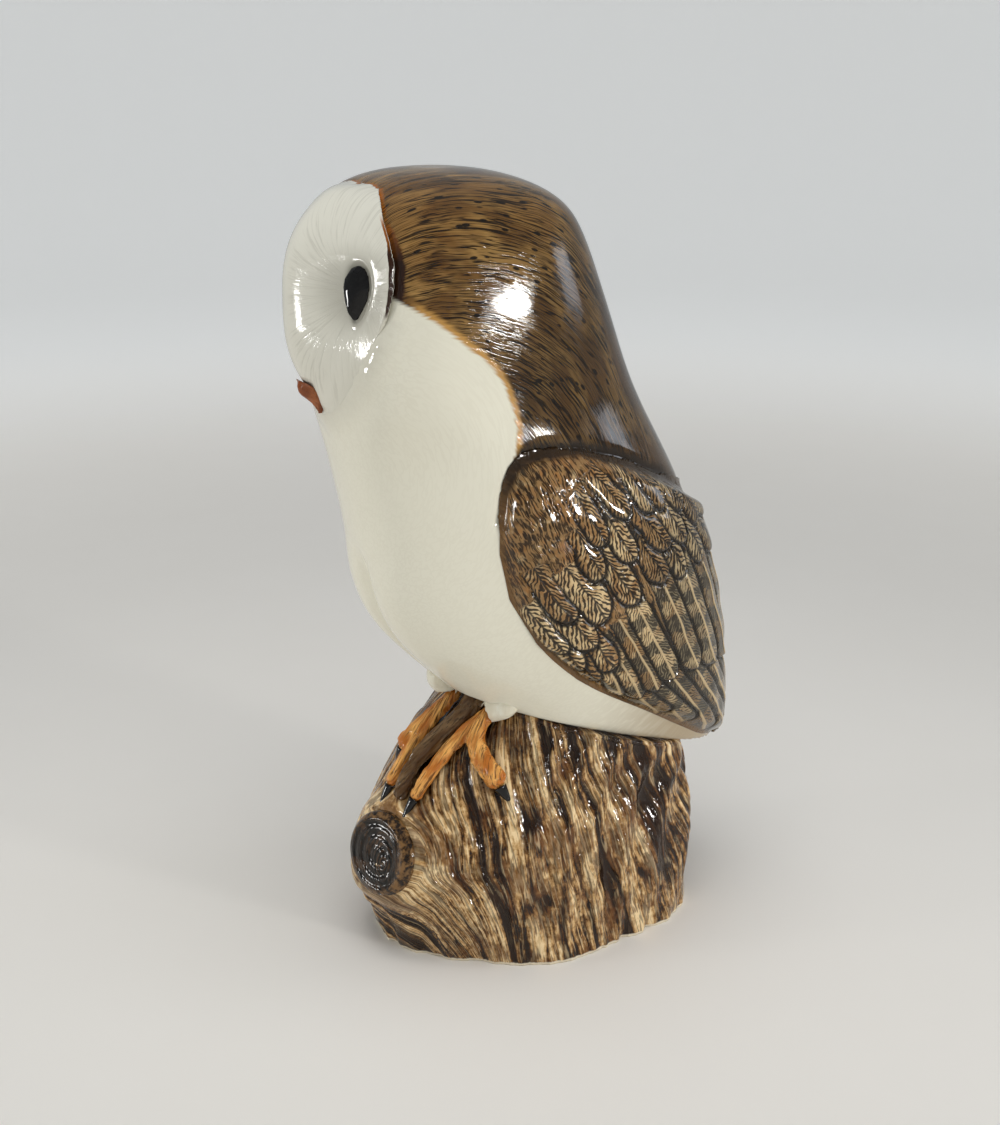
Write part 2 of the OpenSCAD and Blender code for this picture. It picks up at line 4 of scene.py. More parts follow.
import bmesh
import bpy
import numpy as np
from mathutils.bvhtree import BVHTree
from mathutils.kdtree import KDTree
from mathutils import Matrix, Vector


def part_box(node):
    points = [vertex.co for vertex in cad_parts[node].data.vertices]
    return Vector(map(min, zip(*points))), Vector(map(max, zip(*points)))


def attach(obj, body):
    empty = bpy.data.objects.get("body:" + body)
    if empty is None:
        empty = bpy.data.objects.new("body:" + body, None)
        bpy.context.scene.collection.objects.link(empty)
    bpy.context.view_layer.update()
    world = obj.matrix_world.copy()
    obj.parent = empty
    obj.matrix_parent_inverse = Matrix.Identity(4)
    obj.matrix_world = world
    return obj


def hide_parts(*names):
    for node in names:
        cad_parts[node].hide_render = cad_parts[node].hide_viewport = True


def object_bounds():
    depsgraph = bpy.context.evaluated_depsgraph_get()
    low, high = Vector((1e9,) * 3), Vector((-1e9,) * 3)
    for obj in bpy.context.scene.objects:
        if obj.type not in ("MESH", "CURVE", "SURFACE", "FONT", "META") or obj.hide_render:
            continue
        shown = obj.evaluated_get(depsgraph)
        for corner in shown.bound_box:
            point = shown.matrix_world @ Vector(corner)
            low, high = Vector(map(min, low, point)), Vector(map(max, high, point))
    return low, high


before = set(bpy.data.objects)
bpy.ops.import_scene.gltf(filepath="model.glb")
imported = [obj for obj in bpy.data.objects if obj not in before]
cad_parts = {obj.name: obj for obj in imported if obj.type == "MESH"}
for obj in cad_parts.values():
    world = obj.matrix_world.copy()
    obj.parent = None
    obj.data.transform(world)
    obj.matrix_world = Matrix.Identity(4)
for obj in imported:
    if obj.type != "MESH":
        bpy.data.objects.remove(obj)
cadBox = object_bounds()
mm = 0.001
farOff = 99.0  # a distance past any painted edge
print("frame loaded")


# shapes: a casting is copied from the frame, given one even skin, then worked in millimetres

def meshFrom(bm, name):
    mesh = bpy.data.meshes.new(name)
    bm.to_mesh(mesh)
    bm.free()
    return mesh


def addObject(name, data):
    obj = bpy.data.objects.new(name, data)
    bpy.context.scene.collection.objects.link(obj)
    return obj


def castCopy(node, name, voxel, hollow=False):
    bm = bmesh.new()
    bm.from_mesh(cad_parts[node].data)
    bmesh.ops.remove_doubles(bm, verts=bm.verts, dist=1e-6)
    if hollow:  # the inside walls face each other, the outside faces nothing
        tree = BVHTree.FromBMesh(bm)
        inner = [f for f in bm.faces
                 if tree.ray_cast(f.calc_center_median() + f.normal * 1e-5, f.normal)[0] is not None]
        bmesh.ops.delete(bm, geom=inner, context="FACES")
        bmesh.ops.holes_fill(bm, edges=[e for e in bm.edges if e.is_boundary], sides=0)
    obj = addObject(name, meshFrom(bm, name))
    skin = obj.modifiers.new("skin", "REMESH")
    skin.mode = "VOXEL"
    skin.voxel_size = voxel * mm
    skin.use_smooth_shade = True
    bpy.context.view_layer.update()
    obj.data = bpy.data.meshes.new_from_object(obj.evaluated_get(bpy.context.evaluated_depsgraph_get()))
    obj.data.name = name
    obj.modifiers.clear()
    return obj


def readPoints(mesh, what="co"):
    flat = np.empty(len(mesh.vertices) * 3, np.float32)
    mesh.vertices.foreach_get(what, flat)
    return flat.reshape(-1, 3).astype(float) * (1 / mm if what == "co" else 1)


def readLinks(mesh):
    flat = np.empty(len(mesh.edges) * 2, np.int32)
    mesh.edges.foreach_get("vertices", flat)
    return flat.reshape(-1, 2)


def writePoints(mesh, points):
    mesh.vertices.foreach_set("co", (points * mm).astype(np.float32).ravel())
    mesh.update()


# a value at every point of a mesh, which its glaze reads by name
def layValues(mesh, **columns):
    for name, column in columns.items():
        spot = mesh.attributes.new(name, "FLOAT", "POINT")
        spot.data.foreach_set("value", np.asarray(column, np.float32))


# evens out facets; free is 0 where a point stays put, and give takes back the shrinking
def relax(points, links, rounds, free=1.0, give=0.0):
    a, b = links[:, 0], links[:, 1]
    count = np.maximum(np.bincount(links.ravel(), minlength=len(points)), 1)[:, None]
    free = np.asarray(free).reshape(-1, 1) if np.ndim(free) else free
    points = points if points.ndim == 2 else points[:, None]
    n = len(points)
    for _ in range(rounds):
        for share in ((0.5, -give) if give else (0.5,)):
            total = np.stack([np.bincount(a, column[b], n) + np.bincount(b, column[a], n)
                              for column in points.T], 1)
            points = points + free * share * (total / count - points)
    return points


def smoothStep(value, low, high):
    t = np.clip((value - low) / (high - low), 0, 1)
    return t * t * (3 - 2 * t)


# 1 where a value is nought, falling away on both sides over a width
def bell(value, width):
    return np.exp(-(value / width) ** 2)


# soft noise from -1 to 1, one cell to a unit: large numbers scatter a value to each corner of a cell
scatter = {"corner": (374761393, 668265263, 2147483647), "seed": 1442695, "mix": 1274126177,
           "mask": 0x7FFFFFFF}


def grain(seed, x, y, z=0.0):
    points = np.stack(np.broadcast_arrays(x, y, z), 1)
    cell = np.floor(points).astype(np.int64)
    part = points - cell
    part = part * part * (3 - 2 * part)
    total = np.zeros(len(points))
    for corner in itertools.product((0, 1), repeat=3):
        spot = cell + np.array(corner)
        key = (spot @ np.array(scatter["corner"]) + seed * scatter["seed"]) & scatter["mask"]
        key = ((key ^ (key >> 13)) * scatter["mix"]) & scatter["mask"]
        value = ((key ^ (key >> 16)) & 0xFFFF) / 32767.5 - 1
        total += np.prod(np.where(corner, part, 1 - part), axis=1) * value
    return total


# cubic curve through knots, drawn the way the part's source draws it
def throughKnots(value, at, heights):
    at, heights = np.array(at, float), np.array(heights, float)
    low, high = np.maximum(np.arange(len(at)) - 1, 0), np.minimum(np.arange(len(at)) + 1, len(at) - 1)
    slope = (heights[high] - heights[low]) / (at[high] - at[low])
    i = np.clip(np.searchsorted(at, value, side="right") - 1, 0, len(at) - 2)
    span = at[i + 1] - at[i]
    t = np.clip((value - at[i]) / span, 0, 1)
    return (heights[i] * (1 + 2 * t) * (1 - t) ** 2 + slope[i] * span * t * (1 - t) ** 2
            + heights[i + 1] * t * t * (3 - 2 * t) + slope[i + 1] * span * t * t * (t - 1))


# distance to a broken line, and the side of it: positive on the left of its run
def lineDistance(u, v, line):
    best, side = np.full(len(u), 1e9), np.ones(len(u))
    for (a, b), (c, d) in zip(line[:-1], line[1:]):
        du, dv = c - a, d - b
        t = np.clip(((u - a) * du + (v - b) * dv) / (du * du + dv * dv), 0, 1)
        gap = np.hypot(u - a - t * du, v - b - t * dv)
        near = gap < best - 1e-9
        side = np.where(near, np.where(du * (v - b) - dv * (u - a) >= 0, 1, -1), side)
        best = np.where(near, gap, best)
    return best, side


def settle(obj, node, finish):
    obj.data.materials.clear()
    obj.data.materials.append(finish)
    obj.data.shade_smooth()
    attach(obj, "root")
    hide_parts(node)
    print("piece", obj.name, len(obj.data.polygons))


# finishes: a wire is a socket that takes sums, and a glaze is one material

class Wire:
    def __init__(self, glaze, socket):
        self.glaze = glaze
        self.socket = socket

    def math(self, operation, a, b=0.0):
        return self.glaze.node("ShaderNodeMath", {"operation": operation}, {0: a, 1: b})

    def __add__(self, other):
        return self.math("ADD", self, other)

    def __radd__(self, other):
        return self.math("ADD", other, self)

    def __sub__(self, other):
        return self.math("SUBTRACT", self, other)

    def __rsub__(self, other):
        return self.math("SUBTRACT", other, self)

    def __mul__(self, other):
        return self.math("MULTIPLY", self, other)

    def __rmul__(self, other):
        return self.math("MULTIPLY", other, self)

    def __abs__(self):
        return self.math("ABSOLUTE", self)

    def most(self, other):
        return self.math("MAXIMUM", self, other)

    def wave(self):
        return self.math("SINE", self)


class Glaze:
    def __init__(self, name, **shine):
        self.material = bpy.data.materials.new(name)
        self.material.use_nodes = True
        self.tree = self.material.node_tree
        self.shader = self.tree.nodes["Principled BSDF"]
        for socket, value in shine.items():
            self.shader.inputs[socket.replace("_", " ")].default_value = value

    def node(self, kind, settings, inputs, output=0):
        made = self.tree.nodes.new(kind)
        for key, value in settings.items():
            if key == "stops":
                ramp = made.color_ramp
                while len(ramp.elements) < len(value):
                    ramp.elements.new(1.0)
                for element, (place, colour) in zip(ramp.elements, value):
                    element.position, element.color = place, colour
            else:
                setattr(made, key, value)
        for key, value in inputs.items():
            if isinstance(value, Wire):
                self.tree.links.new(value.socket, made.inputs[key])
            else:
                made.inputs[key].default_value = value
        return Wire(self, made.outputs[output])

    def value(self, name):
        return self.node("ShaderNodeAttribute", {"attribute_name": name}, {}, "Fac")

    def place(self):
        return self.node("ShaderNodeTexCoord", {}, {}, "Object")

    def axis(self, number):
        return self.node("ShaderNodeSeparateXYZ", {}, {0: self.place()}, number)

    def vector(self, x, y, z):
        return self.node("ShaderNodeCombineXYZ", {}, {0: x, 1: y, 2: z})

    def noise(self, vector, scale, detail=2.0, rough=0.5):
        return self.node("ShaderNodeTexNoise", {}, {"Vector": vector, "Scale": scale, "Detail": detail,
                                                    "Roughness": rough}, "Fac")

    # noise on values laid on the mesh, so that it follows the strokes
    def streaks(self, x, y, z=0.0, detail=2.0, rough=0.5):
        return self.noise(self.vector(x, y, z), 1.0, detail, rough)

    # thin lines where a noise crosses its middle
    def thread(self, noise, thin, thick):
        return 1 - self.step(abs(noise - 0.5), thin, thick)

    def cells(self, vector, output="Distance"):
        return self.node("ShaderNodeTexVoronoi", {}, {"Vector": vector, "Scale": 1.0}, output)

    def step(self, value, low, high):
        return self.node("ShaderNodeMapRange", {"interpolation_type": "SMOOTHSTEP"},
                         {"Value": value, "From Min": low, "From Max": high})

    def blend(self, share, under, over):
        return self.node("ShaderNodeMix", {"data_type": "RGBA"}, {0: share, 6: under, 7: over}, 2)

    def ramp(self, share, stops):
        return self.node("ShaderNodeValToRGB", {"stops": stops}, {0: share})

    def finish(self, colour, rough, height=None, depth=0.05, glow=None):
        links = self.tree.links
        links.new(colour.socket, self.shader.inputs["Base Color"])
        links.new(rough.socket, self.shader.inputs["Roughness"])
        if height is not None:
            bump = self.node("ShaderNodeBump", {}, {"Height": height, "Distance": depth * mm,
                                                    "Strength": 1.0})
            links.new(bump.socket, self.shader.inputs["Normal"])
        if glow is not None:
            links.new(glow.socket, self.shader.inputs["Emission Color"])
        return self.material


# fired clear glaze over the painted ground
gloss = {"IOR": 1.4, "Specular_IOR_Level": 0.5}


def paint(red, green, blue):
    return tuple((c / 12.92 if c <= 0.04045 else ((c + 0.055) / 1.055) ** 2.4)
                 for c in (red / 255, green / 255, blue / 255)) + (1.0,)


# wing chart: a point beside the owl unrolled to (round, up) in millimetres
chart = {"girth": 52.0, "axis": -2.0, "lean": 0.15}
wingTop = [(46.2, 146), (47.2, 156), (49.6, 162.6), (53, 166.4), (60, 168.8), (74, 169.8), (94, 167.2),
           (115, 162.4), (137, 155.6), (162, 148)]
wingLow = [(162, 60), (150, 63), (137.3, 68.2), (120.8, 76.6), (106.3, 82), (90.7, 87.8), (72.9, 96.5),
           (60.5, 105.3), (52, 114.9), (48.1, 125.9), (46.4, 135), (46.2, 146)]


def unroll(points):
    x, y, z = np.abs(points[:, 0]), points[:, 1], points[:, 2]
    return chart["girth"] * np.arctan2(x, -(y - chart["axis"])), z + chart["lean"] * y


# owl body: cream breast, brown cap and back, strokes running back from the face and down the nape
body = {
    "voxel": 0.945, "rounds": 92, "swell": 0.3, "fillet": 1.05, "groove": 0.25,
    "tuck": (1.0, 1.7), "fold": (3.0, 4.0), "lobe": (1.0, 13.0, 8.0), "headFront": -25.0, "inset": 0.02,
    "capEdge": [(-80, 232), (-66, 219.5), (-58, 214.4), (-52.7, 210.7), (-46.8, 206.1), (-40.7, 201.4),
                (-35.9, 196.7), (-32.6, 192), (-29.6, 184.4), (-28.5, 178.5), (-29.3, 172.7), (-31, 164),
                (-22, 140), (0, 110), (40, 80), (58, 62), (62, 50)],
    "pivot": (-75, 165), "flow": (60.0, 50.0), "core": (43.5, 0.44), "seat": (88.0, 36.0, 0.3346),
    "cream": paint(228, 224, 206), "creamShade": paint(212, 206, 186), "valleyShade": paint(206, 202, 186),
    "under": paint(158, 139, 110), "capTan": paint(168, 130, 73), "capBrown": paint(110, 77, 36),
    "capRust": paint(104, 65, 26), "capDark": paint(20, 12, 5), "napeBrownAndShade": paint(50, 38, 25),
    "speck": paint(18, 13, 8), "ochre": paint(198, 150, 80), "creaseShade": paint(26, 17, 9),
    "ruffAmber": paint(168, 98, 34), "ruffDark": paint(44, 22, 9),
}


# gap from each point of the head's front to the disc's edge, how far round that is, and how thick the disc is
def edgeGap(points, edgeLine):
    tree = KDTree(len(edgeLine))
    for i, spot in enumerate(edgeLine):
        tree.insert(spot[:3], i)
    tree.balance()
    gap, turn, thick = np.full(len(points), farOff), np.zeros(len(points)), np.zeros(len(points))
    for k in np.flatnonzero(points[:, 1] < body["headFront"]):
        spot, i, gap[k] = tree.find(points[k])
        turn[k] = math.degrees(math.atan2(abs(spot[0]), spot[2] - face["middle"]))
        thick[k] = edgeLine[i][3]
    return gap, turn, thick


def makeBody(edgeLine):
    obj = castCopy("owl_shell", "owlBody", body["voxel"], hollow=True)
    mesh = obj.data
    links, points = readLinks(mesh), readPoints(mesh)
    high, front, fall = body["seat"]
    free = 0.1 + 0.9 * smoothStep(points[:, 2] - high + fall * (points[:, 1] + front), 1, 12)
    points = relax(points, links, body["rounds"], free)
    writePoints(mesh, points)
    normal = readPoints(mesh, "normal")
    gap, turn, thick = edgeGap(points, edgeLine)
    lower = smoothStep(turn, 86, 106)
    rise = body["swell"] * free
    rise += body["fillet"] * np.minimum(thick, 3) * lower * (1 - smoothStep(gap, 0.5, 9))
    rise -= body["groove"] * (1 - lower) * bell(gap - 0.7, 0.8)
    x, y, z = points.T
    belly = smoothStep(-y, 10, 25) * (1 - smoothStep(z, 124, 141)) * smoothStep(z, 84, 96)
    deep, narrow = body["fold"]
    full, apart, broad = body["lobe"]
    rise += belly * (full * bell(np.abs(x) - apart, broad) - deep * bell(x, narrow))
    deep, narrow = body["tuck"]
    rise -= deep * bell(lineDistance(*unroll(points), wingTop)[0], narrow)
    points = points + normal * rise[:, None]
    points[:, 2] = np.minimum(points[:, 2], cadBox[1][2] / mm - body["inset"])
    writePoints(mesh, points)
    y, z = points[:, 1], points[:, 2]
    reach, side = lineDistance(y, z, body["capEdge"])
    py, pz = body["pivot"]
    downhill, sideways = body["flow"]
    start, grow = body["core"]
    out, run = np.hypot(y - py, z - pz), downhill * np.arctan2(y - py, z - pz)
    flowSide = sideways * np.arctan2(np.abs(points[:, 0]), out - start - grow * run)
    layValues(mesh, capReach=reach * side, flowOut=out, edgeGap=gap, edgeTurn=turn, flowRun=run,
              flowSide=flowSide, creaseGap=lineDistance(*unroll(points), wingTop)[0])
    settle(obj, "owl_shell", bodyGlaze())
    bm = bmesh.new()
    bm.from_mesh(mesh)
    skin = BVHTree.FromBMesh(bm)
    bm.free()
    return skin


def bodyGlaze():
    g = Glaze("whiteGlaze", **gloss)
    reach, out, run = g.value("capReach"), g.value("flowOut"), g.value("flowRun")
    gap, turn, side = g.value("edgeGap"), g.value("edgeTurn"), g.value("flowSide")
    wide, back = g.axis(0) * (1 / mm), g.axis(1) * (1 / mm)
    sway = g.streaks(out * 0.05, run * 0.05, wide * 0.05, 2.0) * 5
    lane = side + sway
    fine = g.streaks(lane * 0.95, run * 0.06, wide * 0.03, 1.0)
    hair = g.streaks(lane * 2.2, run * 0.1, wide * 0.03, 1.0)
    broad = g.streaks(out * 0.11, run * 0.06, wide * 0.11, 3.0)
    broken = g.streaks(lane * 0.45, run * 0.15, wide * 0.03, 2.0)
    patch = g.noise(g.place(), 48.0, 3.0)
    nape = g.step(run, 5.0, 70.0)
    strokes = g.thread(fine, 0.02, 0.066) * g.step(broken + nape * 0.1, 0.37, 0.47)
    hairs = g.thread(hair, 0.02, 0.08) * g.step(patch + broken * 0.5, 0.55, 0.8)
    cells = g.vector(lane * 0.36, run * 0.24, wide * 0.03)
    dots = (1 - g.step(g.cells(cells), 0.17, 0.27)) * g.step(g.cells(cells, output="Color"), 0.38, 0.44)
    cap = g.blend(g.step(broad + (patch - 0.5) * 0.6, 0.38, 0.62), body["capBrown"], body["capTan"])
    cap = g.blend(g.step(patch, 0.5, 0.66) * 0.5, cap, body["capRust"])
    # the cap darkens down the nape: partly its own darker brown, partly painted shade
    cap = g.blend(nape * 0.7, cap, body["napeBrownAndShade"])
    cap = g.blend(hairs * 0.6, cap, body["capDark"])
    cap = g.blend(strokes * 0.92, cap, body["capDark"])
    cap = g.blend(dots * 0.95, cap, body["speck"])
    ragged = reach + (fine - 0.5) * 2.0
    cap = g.blend((1 - g.step(abs(ragged - 0.4), 0.3, 2.0)) * g.step(gap, 4.0, 9.0) * 0.8, cap, body["ochre"])
    # painted shade: the cap darkens to near black in the crease along the wing's top edge
    dark = 1 - g.step(g.value("creaseGap") + (broad - 0.5) * 3.0, 0.6, 3.6)
    cap = g.blend(dark * 0.9, cap, body["creaseShade"])
    upper = 1 - g.step(turn, 88.0, 94.0)
    deep = g.step(turn + (broad - 0.5) * 14, 44.0, 66.0)
    rungs = g.step((turn * 3.1 + hair * 2.0).wave(), 0.1, 0.6) * g.step(turn, 26.0, 40.0)
    ruff = g.blend(deep.most(rungs * 0.75), body["ruffAmber"], body["ruffDark"])
    cap = g.blend((1 - g.step(gap - deep * 1.8 + (fine - 0.5) * 1.2, 0.7, 1.7)) * upper, cap, ruff)
    soft = g.streaks(wide * 0.7, out * 0.7, run * 0.07, 1.0)
    wisps = g.thread(soft, 0.02, 0.1) * patch
    cream = g.blend(wisps * 0.35, body["cream"], body["creamShade"])
    # painted shade: the cream greys in the soft valley where the face disc's lower rim meets the breast
    valleyShade = (1 - g.step(gap, 0.0, 8.0)) * (1 - upper)
    cream = g.blend(valleyShade * 0.7, cream, body["valleyShade"])
    cream = g.blend(g.step(back + (soft - 0.5) * 12, -6.0, 38.0) * 0.9, cream, body["under"])
    brown = g.step(ragged, -0.9, 0.6)
    colour = g.blend(brown, cream, cap)
    return g.finish(colour, 0.03 + hair * 0.03, (fine * 0.5 - strokes - hairs * 0.5) * brown, 0.007)


# folded wings: scale feathers over long flight feathers, laid out on the wing chart as (root, tip, width)
wing = {
    "voxel": 0.525, "rounds": 116, "lift": 1.3, "groove": 0.75, "shaft": 0.28, "sink": 0.25,
    "press": 0.85, "inset": 0.05, "dip": 62, "bare": (0.45, 0.12), "sway": (0.7, 5.0), "toneStep": 0.618,
    "scale": {"loose": 1.0, "tip": 1.35, "root": 0.45}, "quill": {"loose": 0.3, "tip": 1.1, "root": 0.15},
    "primaries": [(88, 97, 112, 81.5, 8), (95, 98, 124, 76.5, 9), (106, 100, 136, 71, 9),
                  (117, 101, 146, 68.5, 9), (127, 101, 153, 66, 9), (138, 100, 158, 65, 9),
                  (149, 99, 162, 65, 8)],
    "secondaries": [(78, 107, 91, 91, 7), (81.4, 110.2, 97.5, 91, 7.5), (87.4, 115.5, 103, 93.5, 8),
                    (93.5, 120.5, 109, 97, 9.5), (104.7, 127, 119, 99, 10.5), (114.3, 131.5, 129, 98.5, 11),
                    (125.8, 134, 139, 98, 10.5), (137, 135, 148.5, 97.5, 10), (148, 135, 157.5, 97, 10),
                    (158, 135, 164, 97, 9)],
    "coverts": [(58, 117, 66.5, 106.5, 9), (63, 112, 73, 101, 8), (68.7, 106.9, 80, 97, 8),
                (66.9, 119.1, 76.9, 109, 11), (76, 112, 85, 102, 9), (70.7, 130.2, 80.4, 118, 11.5),
                (72, 142, 79.1, 131.1, 9), (82.2, 135.5, 92.6, 123.5, 10.5), (82.3, 148.8, 91.5, 136.6, 9.5),
                (79.6, 160.2, 89.8, 150.5, 9), (95.2, 141.6, 104.7, 129.4, 10.5),
                (93.3, 152.5, 106.8, 140, 10), (93, 163, 101, 151.5, 9), (98.9, 164, 107, 153, 9),
                (106.5, 142, 113.6, 131, 9.5), (107, 153, 116, 141.5, 10), (109, 163, 118, 152, 10),
                (118, 146, 125.5, 134.5, 10), (119, 158, 128, 146.5, 10), (130, 147, 137, 135.5, 10),
                (131, 158, 139, 146.5, 10), (141, 148, 147.5, 136.5, 10), (142, 157, 149, 146, 10),
                (152, 148, 157.5, 137, 10), (152, 157, 159, 146, 9), (72, 153, 80, 142, 9),
                (60, 129, 68.5, 117.5, 10)],
    "tan": paint(204, 178, 134), "brown": paint(138, 106, 66), "amber": paint(150, 98, 44),
    "dark": paint(15, 10, 6), "grey": paint(84, 78, 62), "pale": paint(206, 180, 136),
    "border": paint(110, 80, 46), "barbs": 3.1, "spread": 1.25,
}


# each point takes the uppermost feather over it; outline is the distance to the nearest edge that shows,
# and kind is 3 or 2 on a flight feather, 1 on a scale and 0 where the wing is bare
def layFeathers(u, v, rows):
    n = len(u)
    stray, cell = wing["sway"]
    sway, lift = [stray * grain(seed, u / cell, v / cell) for seed in (41, 42)]
    lay = {k: np.zeros(n) for k in ("along", "across", "tone", "kind", "rise")}
    lay["outline"] = np.full(n, 9.0)
    number = 0
    for kind, feathers in rows:
        form = wing["scale"] if kind == 1 else wing["quill"]
        for au, av, bu, bv, width in sorted(feathers, key=lambda f: f[3]):
            number += 1
            length = math.hypot(bu - au, bv - av)
            du, dv = (bu - au) / length, (bv - av) / length
            pu, pv = u + form["loose"] * sway - au, v + form["loose"] * lift - av
            along, across = pu * du + pv * dv, pu * dv - pv * du
            half = width / 2
            tip = length - half * form["tip"]
            reach = length - tip
            bulge = np.hypot(np.maximum(along - tip, 0) / reach, across / half)
            inside = np.where(along > tip, (1 - bulge) * min(half, reach), half - np.abs(across))
            behind = along < -form["root"] * length
            over = (inside > 0) & ~behind
            near = ~behind & (along > 0)
            close = np.where(near, np.minimum(lay["outline"], np.abs(inside)), lay["outline"])
            lay["outline"] = np.where(over, inside, close)
            share = np.clip(along / length, 0, 1)
            bow = 1 - 0.5 * np.clip(across / half, -1, 1) ** 2
            tone = number * wing["toneStep"] % 1
            for key, value in (("along", along), ("across", across), ("tone", tone), ("kind", kind),
                               ("rise", (0.2 + 0.8 * share) * bow)):
                lay[key] = np.where(over, value, lay[key])
    return lay


def wingRim(u, v):
    return np.minimum(lineDistance(u, v, wingTop)[0], lineDistance(u, v, wingLow)[0])


def makeWing(skin):
    obj = castCopy("wing_left", "wingLeft", wing["voxel"])
    mesh = obj.data
    links, points, normal = readLinks(mesh), readPoints(mesh), readPoints(mesh, "normal")
    u, v = unroll(points)
    rim = wingRim(u, v)
    bearing = u / chart["girth"]
    outward = normal[:, 0] * np.sin(bearing) - normal[:, 1] * np.cos(bearing)
    free = smoothStep(outward, 0.15, 0.5) * smoothStep(rim, 0.2, 2.5)
    points = relax(points, links, wing["rounds"], free)
    writePoints(mesh, points)
    normal = readPoints(mesh, "normal")
    u, v = unroll(points)
    rim = wingRim(u, v)
    lay = layFeathers(u, v, [(3, wing["primaries"]), (2, wing["secondaries"]), (1, wing["coverts"])])
    bare = lay["kind"] == 0
    dip = math.radians(wing["dip"])
    streakRun = u * math.cos(dip) - v * math.sin(dip)
    streakOut = u * math.sin(dip) + v * math.cos(dip)
    lay["along"] = np.where(bare, streakRun, lay["along"])
    lay["across"] = np.where(bare, streakOut, lay["across"])
    streak = grain(3, streakOut * 0.5, streakRun * 0.12)
    fade = smoothStep(rim, 0.5, 4.5)
    shaft = bell(lay["across"], 0.55) * (lay["kind"] > 1)
    level, ripple = wing["bare"]
    rise = np.where(bare, level + ripple * streak, lay.pop("rise")) + wing["shaft"] * shaft
    rise = rise * wing["lift"] - wing["groove"] * bell(lay["outline"], 0.55)
    rise = relax(rise, links, 1)[:, 0] * fade * free
    points = points + normal * (rise - wing["sink"])[:, None] * free[:, None]
    points[:, 0] = np.minimum(points[:, 0], cadBox[1][0] / mm - wing["inset"])
    press = wing["press"] * (1 - smoothStep(rim, 0.0, 6.0))
    for k in np.flatnonzero(press > 0.01):  # the edge runs out flush with the body
        near = np.array(skin.find_nearest(points[k] * mm)[0]) / mm
        points[k] += press[k] * (near - points[k])
    writePoints(mesh, points)
    layValues(mesh, **lay, rim=rim, crest=lineDistance(u, v, wingTop)[0], round=u, up=v)
    finish = plumageGlaze()
    settle(obj, "wing_left", finish)
    bm = bmesh.new()
    bm.from_mesh(mesh)
    bmesh.ops.scale(bm, vec=(-1, 1, 1), verts=bm.verts)
    bmesh.ops.reverse_faces(bm, faces=bm.faces)
    twin = addObject("wingRight", meshFrom(bm, "wingRight"))
    settle(twin, "wing_right", finish)
    return finish


